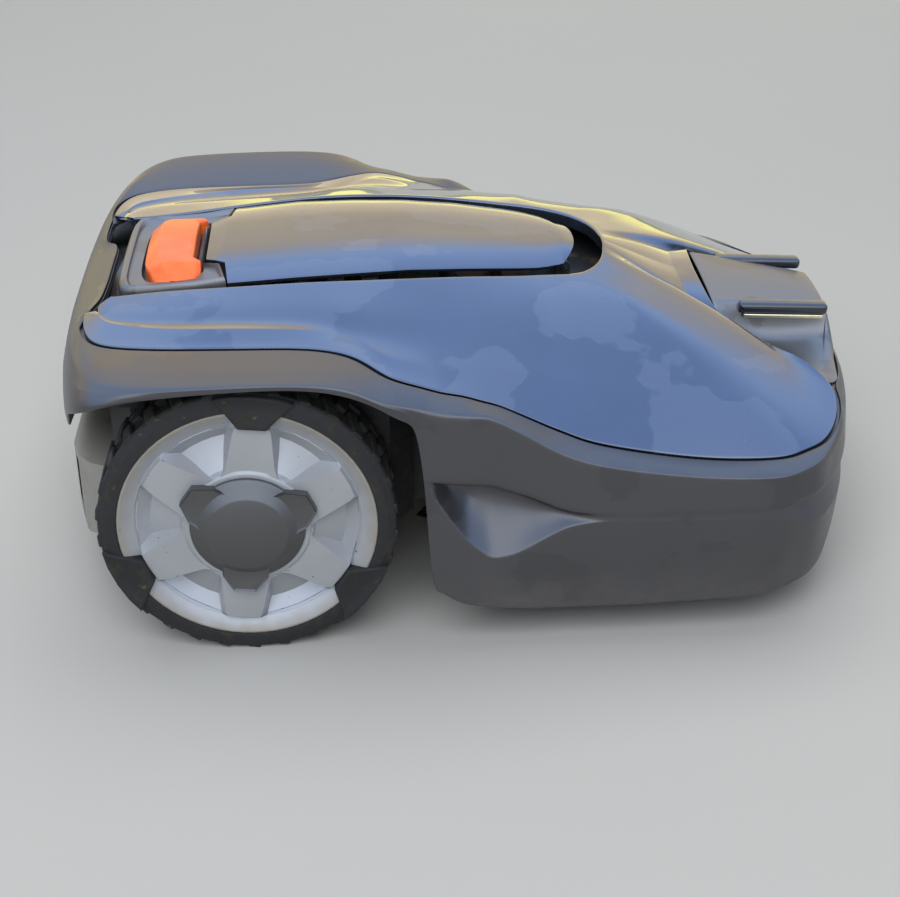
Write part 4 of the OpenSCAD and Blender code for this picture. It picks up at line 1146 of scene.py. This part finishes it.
# %% Return spring of the button
stop_low, stop_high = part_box("stop_spring")
coil_radius = (stop_high.x - stop_low.x) / 2 - 1.1 * MM
wire_radius = 0.45 * MM
coil_turns = 2.4
COIL_STEPS = 24
coil_mesh = bmesh.new()
across = (Matrix.Translation((stem.x * MM + coil_radius, 0, stop_low.z + wire_radius * 1.3))
          @ Matrix.Rotation(pi / 2, 4, "X"))
wire = bmesh.ops.create_circle(coil_mesh, cap_ends=True, segments=8, radius=wire_radius, matrix=across)
rise_of_coil = (stop_high.z - stop_low.z - 2.6 * wire_radius) / (coil_turns * COIL_STEPS)
bmesh.ops.spin(coil_mesh, geom=wire["verts"][0].link_faces[:], cent=(stem.x * MM, 0, 0), axis=(0, 0, 1),
               dvec=(0, 0, rise_of_coil), angle=2 * pi * coil_turns, steps=round(coil_turns * COIL_STEPS))
close_up(coil_mesh)
coil = smooth(new_object("stop_coil", coil_mesh))
dress(coil, "chassis", "steel", "stop_spring")
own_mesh(coil)

# %% [markdown]
# ## How true the image points are
# A ray from the camera to a vertex tells whether that vertex shows. The outermost vertices that
# show give the mower's four edges in the picture, and each feature is measured on its own piece.
# The offsets are worked out in pixels. They compare the model with the named points as they stand,
# five of which were moved to it, so they are no measure of how well it matches the photo.

# %% Vertices that show
depsgraph = bpy.context.evaluated_depsgraph_get()
GRAZE = 2 * MM


def shows(place):
    """Whether nothing stands between the camera and a place."""
    way = place - camera_place
    return not bpy.context.scene.ray_cast(depsgraph, camera_place, way.normalized(),
                                          distance=way.length - GRAZE)[0]


def finished_places(piece):
    """The places of a piece's vertices once its modifiers have worked."""
    finished = piece.evaluated_get(depsgraph)
    return [finished.matrix_world @ vert.co for vert in finished.data.vertices]


def outermost(places, measure):
    """The pixel of the showing place at which a measure of the pixel is greatest."""
    ranked = sorted(((measure(*seen_at(place)), place) for place in places), key=lambda pair: -pair[0])
    for _, place in ranked:
        if shows(place):
            return seen_at(place)
    return (0, 0)


# %% Measure the points
pieces = [piece for piece in bpy.context.scene.objects
          if piece.type == "MESH" and piece is not floor and not piece.hide_render]
everywhere = [place for piece in pieces for place in finished_places(piece)]
shell_places, cover_places = finished_places(shell), finished_places(cover)
hatch_places, cap_places = finished_places(hatch), finished_places(bpy.data.objects["hub_cover_right"])
left, right = outermost(everywhere, lambda x, y: -x), outermost(everywhere, lambda x, y: x)
top, bottom = outermost(everywhere, lambda x, y: -y), outermost(everywhere, lambda x, y: y)
cap_sides = [outermost(cap_places, measure) for measure in
             (lambda x, y: x, lambda x, y: -x, lambda x, y: y, lambda x, y: -y)]
scoop_cage = brow_row[STEPS * 14]
skirt_foot = [p for p in shell_places if 565 < seen_at(p)[1] < 585 and seen_at(p)[0] > 400]
measured = {
    "object_left_x": left[0], "object_right_x": right[0],
    "object_top_y": top[1], "object_bottom_y": bottom[1],
    "hub_centre": ((cap_sides[0][0] + cap_sides[1][0]) / 2, (cap_sides[2][1] + cap_sides[3][1]) / 2),
    "hatch_nose": outermost(hatch_places, lambda x, y: x),
    "hatch_rear_corner": outermost(hatch_places, lambda x, y: y - x),
    "stop_front_corner": outermost(finished_places(button), lambda x, y: x + y),
    "rail_front_end": outermost(finished_places(bpy.data.objects["rail_bar_right"]), lambda x, y: x),
    "cover_lowest": outermost(cover_places, lambda x, y: y),
    "skirt_front_of_wheel": outermost(skirt_foot, lambda x, y: -x),
    "scoop_corner": seen_at((scoop_cage.x, -scoop_cage.y, scoop_cage.z)),
    "cover_rear_end": outermost([p for p in cover_places if p.y < -0.08], lambda x, y: -x),
}
for name, point in image_points.items():
    found = measured[name]
    if isinstance(point, tuple):
        round(found[0] - point[0], 1)
        round(found[1] - point[1], 1)
    else:
        round(found - point, 1)
